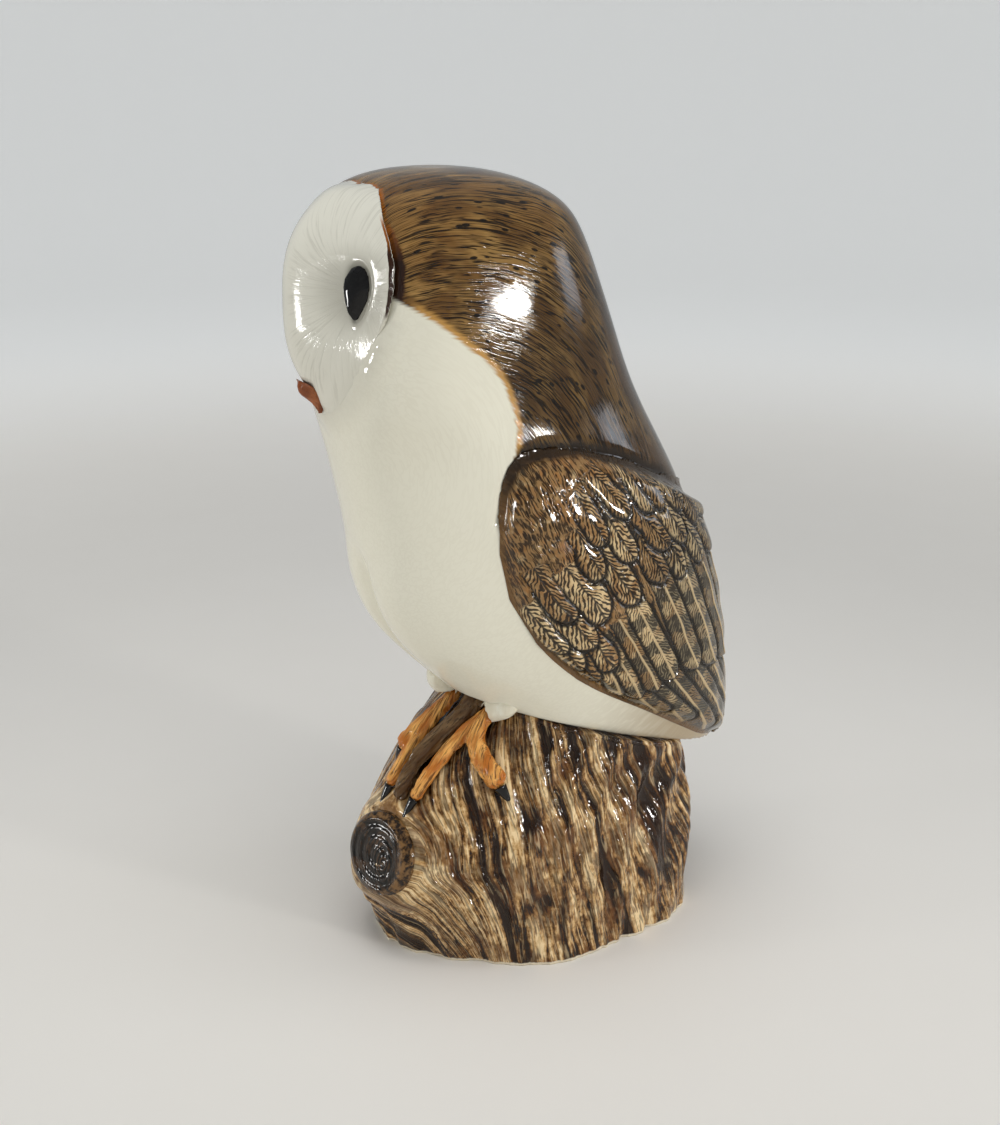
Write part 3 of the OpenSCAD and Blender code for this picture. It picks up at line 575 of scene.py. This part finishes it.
def plumageGlaze():
    g = Glaze("plumageGlaze", **gloss)
    along, across, tone, kind = g.value("along"), g.value("across"), g.value("tone"), g.value("kind")
    outline, rim, up, around = g.value("outline"), g.value("rim"), g.value("up"), g.value("round")
    feathered, flight = g.step(kind, 0.3, 0.7), g.step(kind, 1.4, 1.6)
    seed, spread, left = tone * 37.0, abs(across), g.step(across, -0.1, 0.1)
    warp = g.streaks(along * 0.2, across * 0.2, seed, 2.0)
    broken = g.streaks(along * 0.45, across * 0.45, seed + 7.0, 2.0)
    blotch = g.streaks(around * 0.2, up * 0.2, 6.0, 3.0)
    broad = g.streaks(around * 0.08, up * 0.08, 4.0, 3.0)
    fine = g.streaks(around * 1.6, up * 1.1, 9.0, 2.0)
    barb = along - spread * wing["spread"] + warp * 7.0 + left * (tone + 0.3) * 2.0
    comb = (barb * wing["barbs"]).wave()
    hatch = (barb * wing["barbs"] * 1.4 + seed).wave()
    split = g.streaks(along * 1.0, across * 0.45, seed + 3.0, 1.0)
    mottle = g.streaks(around * 0.34, up * 0.26, 2.0, 3.0, 0.6)
    streaks = g.streaks(across * 1.0 + warp * 3.0, along * 0.1, seed, 1.0)
    cells = g.vector(across * 1.0 + warp, along * 0.28, 3.0)
    dashes = (1 - g.step(g.cells(cells), 0.27, 0.42)) * g.step(blotch, 0.3, 0.42)
    light = g.step(mottle * 0.7 + blotch * 0.3 + (tone - 0.5) * 0.25, 0.4, 0.6)
    base = g.blend(light, wing["brown"], wing["tan"])
    warm = g.step(broken * 0.5 + broad * 0.5, 0.46, 0.58)
    base = g.blend(warm * (0.5 - feathered * 0.15), base, wing["amber"])
    base = g.blend((1 - g.step(mottle, 0.34, 0.46)) * (1 - feathered) * 0.6, base, wing["border"])
    base = g.blend(g.step(around * 0.01 + broad * 0.6, 1.1, 1.5) * 0.6, base, wing["grey"])
    beat = along * (0.4 + tone * 0.3) + seed + left * 1.3 + (warp - 0.5) * 3.0
    bars = g.step(beat.wave() + (broken - 0.5) * 1.6, -0.1, 0.3)
    base = g.blend(bars * flight * 0.75, base, wing["grey"])
    ragged = (broken - 0.5) * 3.2 + (split - 0.5) * 3.0 - g.step(spread, 0.6, 4.0) * 0.3
    covertStroke = g.step(comb + ragged, -0.35, 0.15)
    flightStroke = g.step(hatch + (broken - 0.5) * 2.4 + (split - 0.5) * 2.0 + bars * 0.8, 0.0, 0.5) * 0.85
    lines = g.thread(streaks, 0.025, 0.085) * g.step(broken, 0.34, 0.46) * 0.92
    stroke = covertStroke * (feathered - flight) + flightStroke * flight
    stroke = stroke + dashes.most(lines) * (1 - feathered)
    colour = g.blend(stroke * 0.92, base, wing["dark"])
    shaft = 1 - g.step(spread + (warp - 0.5) * 0.4, 0.2, 0.6)
    colour = g.blend(shaft * (feathered - flight) * 0.8, colour, wing["dark"])
    colour = g.blend(shaft * flight * 0.7, colour, wing["pale"])
    # dark feather edges: painted outlines, with painted shade in the groove where one feather overlaps the
    # next
    colour = g.blend((1 - g.step(outline + (broken - 0.5) * 0.8, 0.3, 1.1)) * 0.94, colour, wing["dark"])
    colour = g.blend(g.step(blotch, 0.6, 0.74) * (1 - flight) * 0.6, colour, wing["dark"])
    low = 1 - g.step(rim + (fine - 0.5) * 2.0, 0.8, 3.0)
    colour = g.blend(low * 0.8, colour, wing["border"])
    # painted shade: the wing darkens along its top edge, in the crease under the body
    tuck = (1 - g.step(g.value("crest") + (blotch - 0.5) * 4.0, 0.8, 3.6)) * g.step(up, 148.0, 162.0)
    colour = g.blend(tuck * 0.85, colour, wing["dark"])
    return g.finish(colour, 0.035 + fine * 0.04, fine * 0.3 - stroke, 0.035)


# face: a heart-shaped disc with a dish and a raised lid round each eye
face = {
    "voxel": 0.36, "rounds": 600, "middle": 213.0,
    "turns": (0, 30, 60, 90, 120, 150, 180), "radii": (33.5, 36.05, 35.7, 31.5, 28.7, 30.15, 33.5),
    "eye": (22.5, 218.5), "eyeSize": (4.25, 7.75), "eyeLean": 2.0,
    "lid": 0.3, "gutter": 0.3, "sink": 0.1, "inset": 0.02, "rays": 0.04,
    "brow": (1.0, 12.0, 5.5, 10.0), "cheek": (0.7, 186.0, 8.0, 10.0),
    "cream": paint(220, 217, 203), "line": paint(170, 166, 152), "shade": paint(138, 134, 120),
    "amber": paint(168, 98, 34), "brown": paint(44, 22, 9),
}


# a place on the face as an eye's own sideways and upward distances, which lean with the eye
def eyeFrame(x, z):
    lean = math.radians(face["eyeLean"])
    dx, dz = np.abs(x) - face["eye"][0], z - face["eye"][1]
    return dx * math.cos(lean) - dz * math.sin(lean), dz * math.cos(lean) + dx * math.sin(lean)


# share of an eye's outline that a place on the face lies at: 1 on the outline itself
def eyeShare(x, z):
    half, tall = face["eyeSize"]
    side, rise = eyeFrame(x, z)
    rise = rise / tall
    top = rise / np.maximum(np.hypot(rise, side / (0.75 * half)), 1e-6)
    return np.hypot(rise, side / (half * (0.75 + 0.25 * top)))


def makeFace():
    obj = castCopy("face_disc", "faceDisc", face["voxel"])
    mesh = obj.data
    links, points, normal = readLinks(mesh), readPoints(mesh), readPoints(mesh, "normal")
    x, z = points[:, 0], points[:, 2]
    turn = np.degrees(np.arctan2(np.abs(x), z - face["middle"]))
    rim = throughKnots(turn, face["turns"], face["radii"]) - np.hypot(x, z - face["middle"])
    spin = np.degrees(np.arctan2(x, z - face["middle"]))
    edgeLine = []
    for bearing in range(-179, 180):
        near = points[(np.abs(spin - bearing) < 0.8) & (rim < 0.7)]
        back, fore = near[np.argmax(near[:, 1])], near[np.argmin(near[:, 1])]
        edgeLine.append((*back, back[1] - fore[1]))
    front = smoothStep(-normal[:, 1], 0.15, 0.5)
    seat = smoothStep(normal[:, 1], 0.1, 0.4)
    wall = relax((1 - front) * (1 - seat) * (rim < 2.5), links, 2)[:, 0]
    free = np.maximum(front * smoothStep(rim, 0.3, 3.0), (1 - smoothStep(turn, 40, 62)) * (1 - seat))
    points = relax(points, links, face["rounds"], free)
    writePoints(mesh, points)
    normal = readPoints(mesh, "normal")
    eye = eyeShare(x, z)
    dx, dz = np.abs(x) - face["eye"][0], z - face["eye"][1]
    far, bearing = np.hypot(dx, dz), np.arctan2(dx, dz)
    rays = grain(5, bearing * 11, far * 0.07, np.sign(x) * 3)
    rise = face["lid"] * bell(eye - 1.22, 0.09) * smoothStep(dx, -2.5, 2)
    rise -= face["gutter"] * bell(eye - 1.02, 0.08)
    shown = smoothStep(eye, 1.3, 1.8) * smoothStep(rim, 0.5, 3) * smoothStep(np.abs(x), 1, 6)
    rise -= face["rays"] * bell(rays, 0.2) * shown
    full, height, high, wide = face["brow"]
    rise += full * bell(dz - height, high) * bell(dx, wide) * smoothStep(rim, 0.5, 5)
    full, height, high, wide = face["cheek"]
    rise += full * bell(z - height, high) * bell(x, wide) * smoothStep(rim, 0.5, 5)
    points = points + normal * (rise * front - face["sink"])[:, None]
    points[:, 1] = np.maximum(points[:, 1], cadBox[0][1] / mm + face["inset"])
    writePoints(mesh, points)
    layValues(mesh, wall=wall, rim=rim, turn=turn, eyeShare=eye, rayOut=bearing * 20, rayRun=far)
    settle(obj, "face_disc", faceGlaze())
    return edgeLine


def faceGlaze():
    g = Glaze("faceGlaze", **gloss)
    wall, turn, eye = g.value("wall"), g.value("turn"), g.value("eyeShare")
    out, run = g.value("rayOut"), g.value("rayRun")
    wide = g.axis(0)
    rays = g.streaks(out * 2.0, run * 0.07, wide * 40, 2.0, 0.6)
    cloud = g.noise(g.place(), 90.0, 2.0)
    lines = g.step(rays, 0.5, 0.68) * g.step(eye, 1.3, 2.0) * g.step(abs(wide), 0.0005, 0.005)
    # painted shade: the cream greys in the dish round each eye and in the socket at its edge
    hollow = 1 - g.step(run + (cloud - 0.5) * 3.0, 5.0, 15.0)
    socket = 1 - g.step(eye, 1.0, 1.45)
    colour = g.blend(hollow * 0.4 + socket * 0.4, face["cream"], face["shade"])
    colour = g.blend(lines * 0.3, colour, face["line"])
    # painted shade: the disc's lower rim greys into the same valley as the breast beside it
    valleyShade = (1 - g.step(g.value("rim"), 0.0, 7.0)) * g.step(turn, 88.0, 102.0)
    colour = g.blend(valleyShade * 0.6, colour, body["valleyShade"])
    side = g.step(turn + (cloud - 0.5) * 8, 40.0, 50.0) * (1 - g.step(turn, 88.0, 93.0))
    ruff = g.blend(g.step(turn + (cloud - 0.5) * 20, 46.0, 62.0), face["amber"], face["brown"])
    colour = g.blend(g.step(wall, 0.3, 0.6) * side, colour, ruff)
    return g.finish(colour, 0.05 + rays * 0.08, 0.0 - lines, 0.02)


# small castings: furrows run along a direction, with strokes painted the same way
def furrowed(node, name, finish, voxel, rounds, run, pitch=1.2, stretch=7.0, depth=0.0, seed=1,
             shape=None, hub=None):
    obj = castCopy(node, name, voxel)
    mesh = obj.data
    points = relax(readPoints(mesh), readLinks(mesh), rounds, give=0.5)
    points = shape(points) if shape else points
    writePoints(mesh, points)
    d = np.array(run, float) / np.linalg.norm(run)
    e = np.cross(d, (0, 0, 1) if abs(d[2]) < 0.9 else (1, 0, 0))
    e /= np.linalg.norm(e)
    f = np.cross(d, e)
    along, left, high = points @ d, points @ e, points @ f
    if hub:  # strokes fan out from the upper end
        along = along - along.min() + hub
        left = small["fan"] * np.arctan2(left - np.mean(left[along < hub + 4]), along)
    if depth:
        rib = grain(seed, left / pitch, high / pitch, along / stretch)
        normal = readPoints(mesh, "normal")
        points = points - normal * (depth * bell(rib, 0.28))[:, None]
        writePoints(mesh, points)
    layValues(mesh, run=along, left=left, high=high)
    settle(obj, node, finish)


# strokes laid along a casting: light and dark grounds, then fine lines
def strokeGlaze(name, ground, light, line, share=0.6, scale=1.0, shine=0.04, relief=0.03, sheer=1.0):
    g = Glaze(name, **gloss)
    run, left, high = g.value("run"), g.value("left"), g.value("high")
    broad = g.streaks(left * 0.25 * scale, high * 0.25 * scale, run * 0.08 * scale, 2.0)
    fine = g.streaks(left * 1.7 * scale, high * 1.7 * scale * sheer, run * 0.2 * scale * sheer, 3.0, 0.6)
    strokes = g.step(fine + (broad - 0.5) * 0.3, 0.5, 0.66)
    colour = g.blend(g.step(broad + (fine - 0.5) * 0.4, 0.38, 0.66), ground, light)
    colour = g.blend(strokes * share, colour, line)
    return g.finish(colour, shine + fine * 0.06, 0.0 - strokes, relief)


# stump: bark ridges lean along the side, part round the branch stub and sweep out below it;
# ridge, groove and fine lines each have a depth, a pitch and a length
stump = {
    "voxel": 0.72, "rounds": 43, "girth": 46.0, "lean": 0.24, "sweep": 1.5, "knot": 13.0,
    "collar": 1.9, "collarEdge": (14.0, 4.5), "sway": (22.0, 16.0),
    "ridge": (1.5, 4.4, 52.0), "groove": (0.8, 2.4, 26.0), "fine": (0.34, 0.95, 8.0),
    "vent": (0.0, 17.0, 1.6),
    "recess": paint(34, 18, 6), "brown": paint(122, 84, 43), "tan": paint(196, 156, 102),
    "cream": paint(238, 211, 164), "umber": paint(98, 58, 24), "bare": paint(226, 214, 190),
}


# evens out the wavy foot: each bearing takes the mean reach of its neighbours
def evenFoot(points):
    x, y, z = points.T
    bearing, reach = np.degrees(np.arctan2(x, -y)) % 360, np.hypot(x, y)
    low = (z > 0.3) & (z < 4)
    edge = np.array([reach[low & (np.abs((bearing - b + 180) % 360 - 180) < 2)].max() for b in range(360)])
    soft = np.mean([np.roll(edge, k) for k in range(-11, 12)], axis=0)
    share = np.interp(bearing, np.arange(361), np.append(soft / edge, soft[0] / edge[0]))
    share = 1 + (share - 1) * (1 - smoothStep(z, 5, 24))
    return np.stack([x * share, y * share, z], 1)


def makeStump():
    obj = castCopy("stump_shell", "stump", stump["voxel"], hollow=True)
    mesh = obj.data
    links = readLinks(mesh)
    points = evenFoot(readPoints(mesh))
    free = 0.05 + 0.95 * smoothStep(points[:, 2], 0.2, 3.0)
    points = relax(points, links, stump["rounds"], free, give=0.45)
    writePoints(mesh, points)
    normal = readPoints(mesh, "normal")
    x, y, z = points.T
    kx, ky, kz = [(a + b) / 2 / mm for a, b in zip(*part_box("branch_stub"))]
    around = stump["girth"] * (np.arctan2(x, -y) - math.atan2(kx, -ky))
    broad, tall = stump["sway"]
    sway = grain(21, around / broad, z / tall)
    rise = z - kz
    far = np.hypot(around, rise)
    ease = (stump["knot"] / np.maximum(far, stump["knot"])) ** 2
    below = smoothStep(-rise, -4, 10) * smoothStep(around, -40, -10) * (1 - smoothStep(around, 5, 42))
    out = around * (1 - ease) + (stump["lean"] + stump["sweep"] * below) * rise + sway
    run = rise * (1 + ease)
    depth, pitch, length = stump["ridge"]
    cut = depth * (0.5 - 0.5 * grain(11, out / pitch, run / length))
    depth, pitch, length = stump["groove"]
    cut += depth * bell(grain(12, out / pitch, run / length), 0.22)
    depth, pitch, length = stump["fine"]
    cut += depth * (0.5 + 0.5 * grain(13, out / pitch, run / length))
    wide, soft = stump["collarEdge"]
    collar = smoothStep(-y, 20, 40) * bell(np.maximum(far - wide, 0), soft)
    cut = cut * (1 - 0.6 * collar) - stump["collar"] * collar
    side = smoothStep(np.hypot(normal[:, 0], normal[:, 1]), 0.3, 0.6) * smoothStep(z, 0.5, 13.0)
    shift = relax(cut, links, 1)[:, 0] * side
    points = points - normal * shift[:, None]
    points[:, :2] = np.clip(points[:, :2], np.array(cadBox[0][:2]) / mm, np.array(cadBox[1][:2]) / mm)
    vx, vy, vr = stump["vent"]
    points[:, 2] = np.where((np.hypot(x - vx, y - vy) < vr) & (z < 0.5), 4.0, points[:, 2])
    points[:, 2] = np.maximum(points[:, 2], 0)
    writePoints(mesh, points)
    layValues(mesh, cut=cut + stump["collar"] * collar, out=out, run=run)
    settle(obj, "stump_shell", barkGlaze())


def barkGlaze():
    g = Glaze("barkGlaze", **gloss)
    cut, out, run = g.value("cut"), g.value("out"), g.value("run")
    high = g.axis(2) * (1 / mm)
    broad = g.streaks(out * 0.36, run * 0.05, detail=3.0, rough=0.6)
    fine = g.streaks(out * 1.3, run * 0.12, detail=3.0, rough=0.6)
    blotch = g.noise(g.place(), 85.0, 4.0, 0.6)
    dapple = g.noise(g.place(), 420.0, 3.0, 0.6)
    split = g.streaks(out * 0.8, run * 0.16, 5.0, 2.0)
    cracks = g.thread(g.streaks(out * 0.55, run * 0.05, 2.0, 1.0), 0.03, 0.1) * g.step(split, 0.4, 0.5)
    crests = g.thread(g.streaks(out * 0.5, run * 0.05, 8.0, 1.0), 0.02, 0.07) * g.step(split, 0.46, 0.56)
    # bark tone: the bark's own streaks, with painted shade darkening the cuts and painted highlight
    # lightening the ridges to cream
    tone = broad * 0.55 + fine * 0.45 + (dapple - 0.5) * 0.35 - (cut - 1.0) * 0.16
    colour = g.ramp(tone, [(0.38, stump["recess"]), (0.46, stump["brown"]), (0.54, stump["tan"]),
                           (0.64, stump["cream"])])
    colour = g.blend(g.step(blotch + (fine - 0.5) * 0.6, 0.5, 0.6) * 0.75, colour, stump["umber"])
    colour = g.blend(crests * 0.4, colour, stump["cream"])
    colour = g.blend(cracks * 0.6, colour, stump["recess"])
    # painted shade in the deepest cuts
    colour = g.blend(g.step(cut + (fine - 0.5) * 0.9, 1.25, 1.8) * 0.9, colour, stump["recess"])
    bare = 1 - g.step(high + (broad - 0.5) * 1.2, 0.8, 1.4)
    colour = g.blend(bare, colour, stump["bare"])
    return g.finish(colour, 0.045 + fine * 0.05 + bare * 0.4, fine - cracks, 0.06)


# sawn stub: growth rings wind round an off-centre heart inside a pale bark lip
stub = {
    "voxel": 0.36, "rounds": 12, "heart": (4.3, -1.5), "ring": 1.6, "lip": 11.6, "sink": 0.5, "groove": 0.2,
    "light": paint(66, 45, 25), "mid": paint(32, 21, 11), "dark": paint(9, 6, 3), "bark": paint(124, 91, 54),
}


def makeStub():
    obj = castCopy("branch_stub", "branchStub", stub["voxel"])
    mesh = obj.data
    points = relax(readPoints(mesh), readLinks(mesh), stub["rounds"])
    writePoints(mesh, points)
    normal = readPoints(mesh, "normal")
    kx, _, kz = [(a + b) / 2 / mm for a, b in zip(*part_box("branch_stub"))]
    x, z = points[:, 0] - kx, points[:, 2] - kz
    wobble = grain(8, *(points.T * 0.25))
    hx, hz = x - stub["heart"][0], z - stub["heart"][1]
    ring = (np.hypot(hx * 1.45 + hz * 0.3, hz * 0.8) + wobble * 1.1) / stub["ring"]
    lip = smoothStep(np.hypot(x * 1.08, z) + wobble * 0.9, stub["lip"] - 0.8, stub["lip"] + 0.8)
    sawn = smoothStep(-normal[:, 1], 0.5, 0.8)
    groove = bell(ring % 1 - 0.75, 0.16) * (1 - 0.7 * smoothStep(ring, 1.5, 6))
    points = points - normal * (sawn * (1 - lip) * (stub["sink"] + stub["groove"] * groove))[:, None]
    writePoints(mesh, points)
    layValues(mesh, ring=ring, lip=lip)
    settle(obj, "branch_stub", stubGlaze())


def stubGlaze():
    g = Glaze("stubGlaze", **gloss)
    ring, lip = g.value("ring"), g.value("lip")
    cloud = g.noise(g.place(), 260.0, 3.0)
    blotch = g.noise(g.place(), 110.0, 2.0)
    wave = (ring * math.tau).wave() * (0.62 - g.step(ring, 1.5, 6.0) * 0.36) + (cloud - 0.5) * 2.0
    wood = g.blend(g.step(blotch + (cloud - 0.5) * 0.6, 0.42, 0.62), stub["mid"], stub["light"])
    colour = g.blend(g.step(wave, -0.4, 0.4), stub["dark"], wood)
    flecks = g.noise(g.place(), 620.0, 3.0, 0.6)
    bark = g.blend(g.step(flecks * 0.6 + cloud * 0.4, 0.42, 0.6), stub["mid"], stub["bark"])
    colour = g.blend(lip, colour, bark)
    return g.finish(colour, 0.1 + cloud * 0.08, cloud, 0.03)


# tail: five long feathers under the wing tips
tail = {
    "voxel": 0.42, "rounds": 60, "draw": 0.55, "from": 58.0, "lift": 0.5, "groove": 0.5,
    "sink": 0.3, "inset": 0.02, "low": 50.0, "chartAt": 150.0,
    "feathers": [(-13, 96, -12, 51, 7), (13, 96, 12, 51, 7), (-6.5, 96, -6, 50.2, 7), (6.5, 96, 6, 50.2, 7),
                 (0, 96, 0, 49.8, 7.5)],
}


def makeTail(finish):
    obj = castCopy("tail", "tailFeathers", tail["voxel"])
    mesh = obj.data
    links, points = readLinks(mesh), readPoints(mesh)
    normal = readPoints(mesh, "normal")
    free = smoothStep(normal[:, 1], 0.1, 0.5)
    points = relax(points, links, tail["rounds"], free)
    points[:, 2] += tail["draw"] * np.maximum(tail["from"] - points[:, 2], 0)
    writePoints(mesh, points)
    normal = readPoints(mesh, "normal")
    u, v = points[:, 0], points[:, 2]
    lay = layFeathers(u, v, [(3, tail["feathers"])])
    rise = tail["lift"] * lay.pop("rise") - tail["groove"] * bell(lay["outline"], 0.5)
    points = points + normal * ((rise - tail["sink"]) * free)[:, None]
    points[:, 1] = np.minimum(points[:, 1], cadBox[1][1] / mm - tail["inset"])
    writePoints(mesh, points)
    lay["outline"] = lay["outline"] + 2 * (1 - smoothStep(v, tail["low"], tail["from"]))  # no dark line there
    crest = np.full(len(v), farOff)
    layValues(mesh, **lay, rim=v - tail["low"], crest=crest, round=tail["chartAt"] + u, up=v)
    settle(obj, "tail", finish)


# eyes, beak, legs, feet, claws and the bark spur; each paint has a ground, a light and a line colour
small = {
    "toeRun": (0.25, -0.6, -0.76), "legRun": (0, -0.3, -1), "spurRun": (0.32, 0.6, 0.72),
    "clawRun": (0.1, -0.5, -0.85), "fan": 22.0,
    "toes": (paint(184, 108, 40), paint(242, 180, 98), paint(92, 48, 15)),
    "tufts": (paint(218, 210, 188), paint(228, 224, 206), paint(196, 172, 124)),
    "spur": (paint(86, 60, 34), paint(134, 106, 72), paint(24, 14, 7)),
    "claws": (paint(16, 15, 15), paint(36, 34, 33), paint(10, 9, 9)),
    "beak": (paint(130, 66, 27), paint(168, 96, 48), paint(70, 30, 11)),
    "eyes": (paint(7, 6, 6), paint(14, 12, 11), paint(7, 6, 6)),
    "eyePoint": 0.5, "taper": 0.75, "seat": 1.1,
    "beakTop": 190.8, "beakSize": (5.0, 10.5), "beakCast": 6.75, "rake": 0.65,
}


# draws the lower end of an eye out to a point
def pointEye(points):
    lean = math.radians(face["eyeLean"])
    sign = np.sign(points[:, 0])
    side, rise = eyeFrame(points[:, 0], points[:, 2])
    low = np.clip(-rise / face["eyeSize"][1], 0, 1)
    side = side * (1 - small["eyePoint"] * low ** 1.5)
    return np.stack([sign * (face["eye"][0] + side * math.cos(lean) + rise * math.sin(lean)), points[:, 1],
                     face["eye"][1] + rise * math.cos(lean) - side * math.sin(lean)], 1)


# squares the beak's root, straightens its sides and thins it towards the tip
def wedgeBeak(points):
    half, length = small["beakSize"]
    t = np.clip((small["beakTop"] - points[:, 2]) / length, 0.01, 0.99)
    near = [np.hypot(points[:, 0] - x, points[:, 2] - z) < 0.7 for x, _, z in points]
    seat = np.array([points[spot, 1].max() for spot in near])
    points[:, 1] += (seat - points[:, 1]) * small["rake"] * np.clip((t - 0.45) / 0.5, 0, 1)
    now = small["beakCast"] * np.sqrt(1 - (1 - 2 * t) ** 2) * (0.62 + 0.6 * (1 - 2 * t))  # half width as cast
    points[:, 0] *= np.clip(half * (1 - t) ** 0.9 / now, 0.4, 1.6)
    return points


# thins a leg tuft towards the back, so that it runs out under the belly, and seats it there
def taperTuft(points):
    z, y = points[:, 2], points[:, 1]
    back = np.clip((y - y.min()) / np.ptp(y), 0, 1)
    points[:, 2] = z + small["taper"] * back ** 2 * (z.max() - z) + small["seat"]
    return points


def makeSmall():
    toes = strokeGlaze("footGlaze", *small["toes"], share=0.9, scale=1.3, relief=0.04, sheer=0.3)
    tufts = strokeGlaze("legGlaze", *small["tufts"], share=0.12)
    horn = strokeGlaze("clawGlaze", *small["claws"], share=0.5, scale=0.6, shine=0.03, relief=0.015)
    jet = strokeGlaze("eyeGlaze", *small["eyes"], share=0.5, scale=0.5, shine=0.015, relief=0.002)
    for side in ("left", "right"):
        name = side.capitalize()
        furrowed("foot_" + side, "foot" + name, toes, voxel=0.34, rounds=8,
                 run=small["toeRun"], pitch=1.0, stretch=7.0, depth=0.4, seed=4, hub=6)
        furrowed("leg_" + side, "leg" + name, tufts, voxel=0.36, rounds=150,
                 run=small["legRun"], shape=taperTuft)
        furrowed("claws_" + side, "claws" + name, horn, voxel=0.3, rounds=4,
                 run=small["clawRun"])
        furrowed("eye_" + side, "eye" + name, jet, voxel=0.28, rounds=14,
                 run=(0, 0, 1), shape=pointEye)
    rust = strokeGlaze("beakGlaze", *small["beak"], share=0.4, scale=0.6)
    furrowed("beak", "owlBeak", rust, voxel=0.28, rounds=10, run=(0, 0, 1), shape=wedgeBeak)
    wood = strokeGlaze("spurGlaze", *small["spur"], share=0.75, scale=0.9)
    furrowed("bark_spur", "barkSpur", wood, voxel=0.36, rounds=8,
             run=small["spurRun"], pitch=1.7, stretch=12.0, depth=0.6, seed=9)


# stage: a pale floor that sweeps up into a wall all round
stage = {
    "floor": paint(240, 236, 229), "wall": paint(244, 246, 246), "shade": paint(214, 208, 198),
    "glow": paint(132, 130, 126), "reach": 1.5, "sweep": 0.7, "top": 2.6,
    "sky": (0.92, 0.95, 1.0, 1.0), "level": 0.4, "middle": 0.14,
}


def makeStage():
    bm = bmesh.new()
    turns = [math.radians(a) for a in range(0, 91, 10)]
    flat, bend = stage["reach"], stage["sweep"]
    line = [(0.0, 0.0)] + [(flat + bend * math.sin(a), bend * (1 - math.cos(a))) for a in turns]
    spots = [bm.verts.new((x, 0, z)) for x, z in line + [(line[-1][0], stage["top"])]]
    edges = [bm.edges.new(pair) for pair in zip(spots[:-1], spots[1:])]
    bmesh.ops.spin(bm, geom=spots + edges, axis=(0, 0, 1), angle=math.tau, steps=96, use_merge=True)
    bmesh.ops.remove_doubles(bm, verts=bm.verts, dist=1e-5)
    bmesh.ops.recalc_face_normals(bm, faces=bm.faces)
    bmesh.ops.reverse_faces(bm, faces=bm.faces)
    mesh = meshFrom(bm, "floor")
    mesh.shade_smooth()
    mesh.materials.append(floorPaint())
    floor = addObject("floor", mesh)
    world = bpy.data.worlds.new("studio")
    world.use_nodes = True
    bpy.context.scene.world = world
    back = world.node_tree.nodes["Background"]
    back.inputs["Color"].default_value = stage["sky"]
    back.inputs["Strength"].default_value = stage["level"]
    print("stage")


def floorPaint():
    g = Glaze("floorPaint", Emission_Strength=1.0)
    cloud = g.noise(g.place(), 9.0, 3.0)
    far = g.node("ShaderNodeVectorMath", {"operation": "LENGTH"}, {0: g.place()}, "Value")
    seen = g.node("ShaderNodeLightPath", {}, {}, "Is Camera Ray")
    colour = g.blend(cloud * 0.2, stage["floor"], stage["shade"])
    colour = g.blend(g.step(far, 0.6, 1.2), colour, stage["wall"])
    glow = g.blend(g.step(far, 0.36, 1.05) * seen, paint(0, 0, 0), stage["glow"])
    g.material.cycles.emission_sampling = "NONE"
    return g.finish(colour, 0.5 + cloud * 0.2, glow=glow)


# lamps stand round the owl at a bearing from its front, a height angle and a distance from its middle;
# the narrow spread of the low ones keeps them off the floor
lamps = {
    "keyBox": {"shape": "ELLIPSE", "place": (117, 1, 0.9), "size": (0.11, 0.085), "watts": 0.24,
               "colour": (1.0, 0.98, 0.95), "spread": 46, "mirrored": True},
    "frontBox": {"shape": "RECTANGLE", "place": (-14, -3, 0.9), "size": (0.16, 0.13), "watts": 0.17,
                 "colour": (1.0, 0.99, 0.97), "spread": 46, "mirrored": True},
    "windowBox": {"shape": "RECTANGLE", "place": (156, 9, 1.1), "size": (0.34, 0.24), "watts": 0.09,
                  "colour": (0.84, 0.91, 1.0), "spread": 46, "mirrored": True},
    "topBox": {"shape": "RECTANGLE", "place": (60, 75, 1.1), "size": (0.9, 0.9), "watts": 7.4,
               "colour": (1.0, 1.0, 1.0), "spread": 180, "mirrored": False},
}


def makeLamps():
    for name, box in lamps.items():
        data = bpy.data.lights.new(name, "AREA")
        data.shape = box["shape"]
        data.size, data.size_y = box["size"]
        data.energy, data.color = box["watts"], box["colour"]
        data.spread = math.radians(box["spread"])
        lamp = addObject(name, data)
        bearing, tilt, reach = box["place"]
        a, e = math.radians(bearing), math.radians(tilt)
        low = reach * math.cos(e)
        lamp.location = (low * math.sin(a), -low * math.cos(a), stage["middle"] + reach * math.sin(e))
        lamp.rotation_euler = (math.radians(90 - tilt), 0, a)
        lamp.visible_glossy = box["mirrored"]
    print("lamps", len(lamps))


# the photograph's camera
view = {"place": (0.4362, -0.2452, 0.285), "tilt": 72, "bearing": 62, "lens": 51.2, "film": 36.0}


def makeCamera():
    data = bpy.data.cameras.new("camera")
    data.lens, data.sensor_width = view["lens"], view["film"]
    camera = addObject("camera", data)
    camera.location = view["place"]
    camera.rotation_euler = (math.radians(view["tilt"]), 0, math.radians(view["bearing"]))
    data.clip_start, data.clip_end = 0.01, 50
    bpy.context.scene.camera = camera
    print("camera")


makeCamera()
makeStage()
makeLamps()
bodySkin = makeBody(makeFace())
makeTail(makeWing(bodySkin))
makeStump()
makeStub()
makeSmall()
bpy.context.scene.view_settings.view_transform = "Standard"
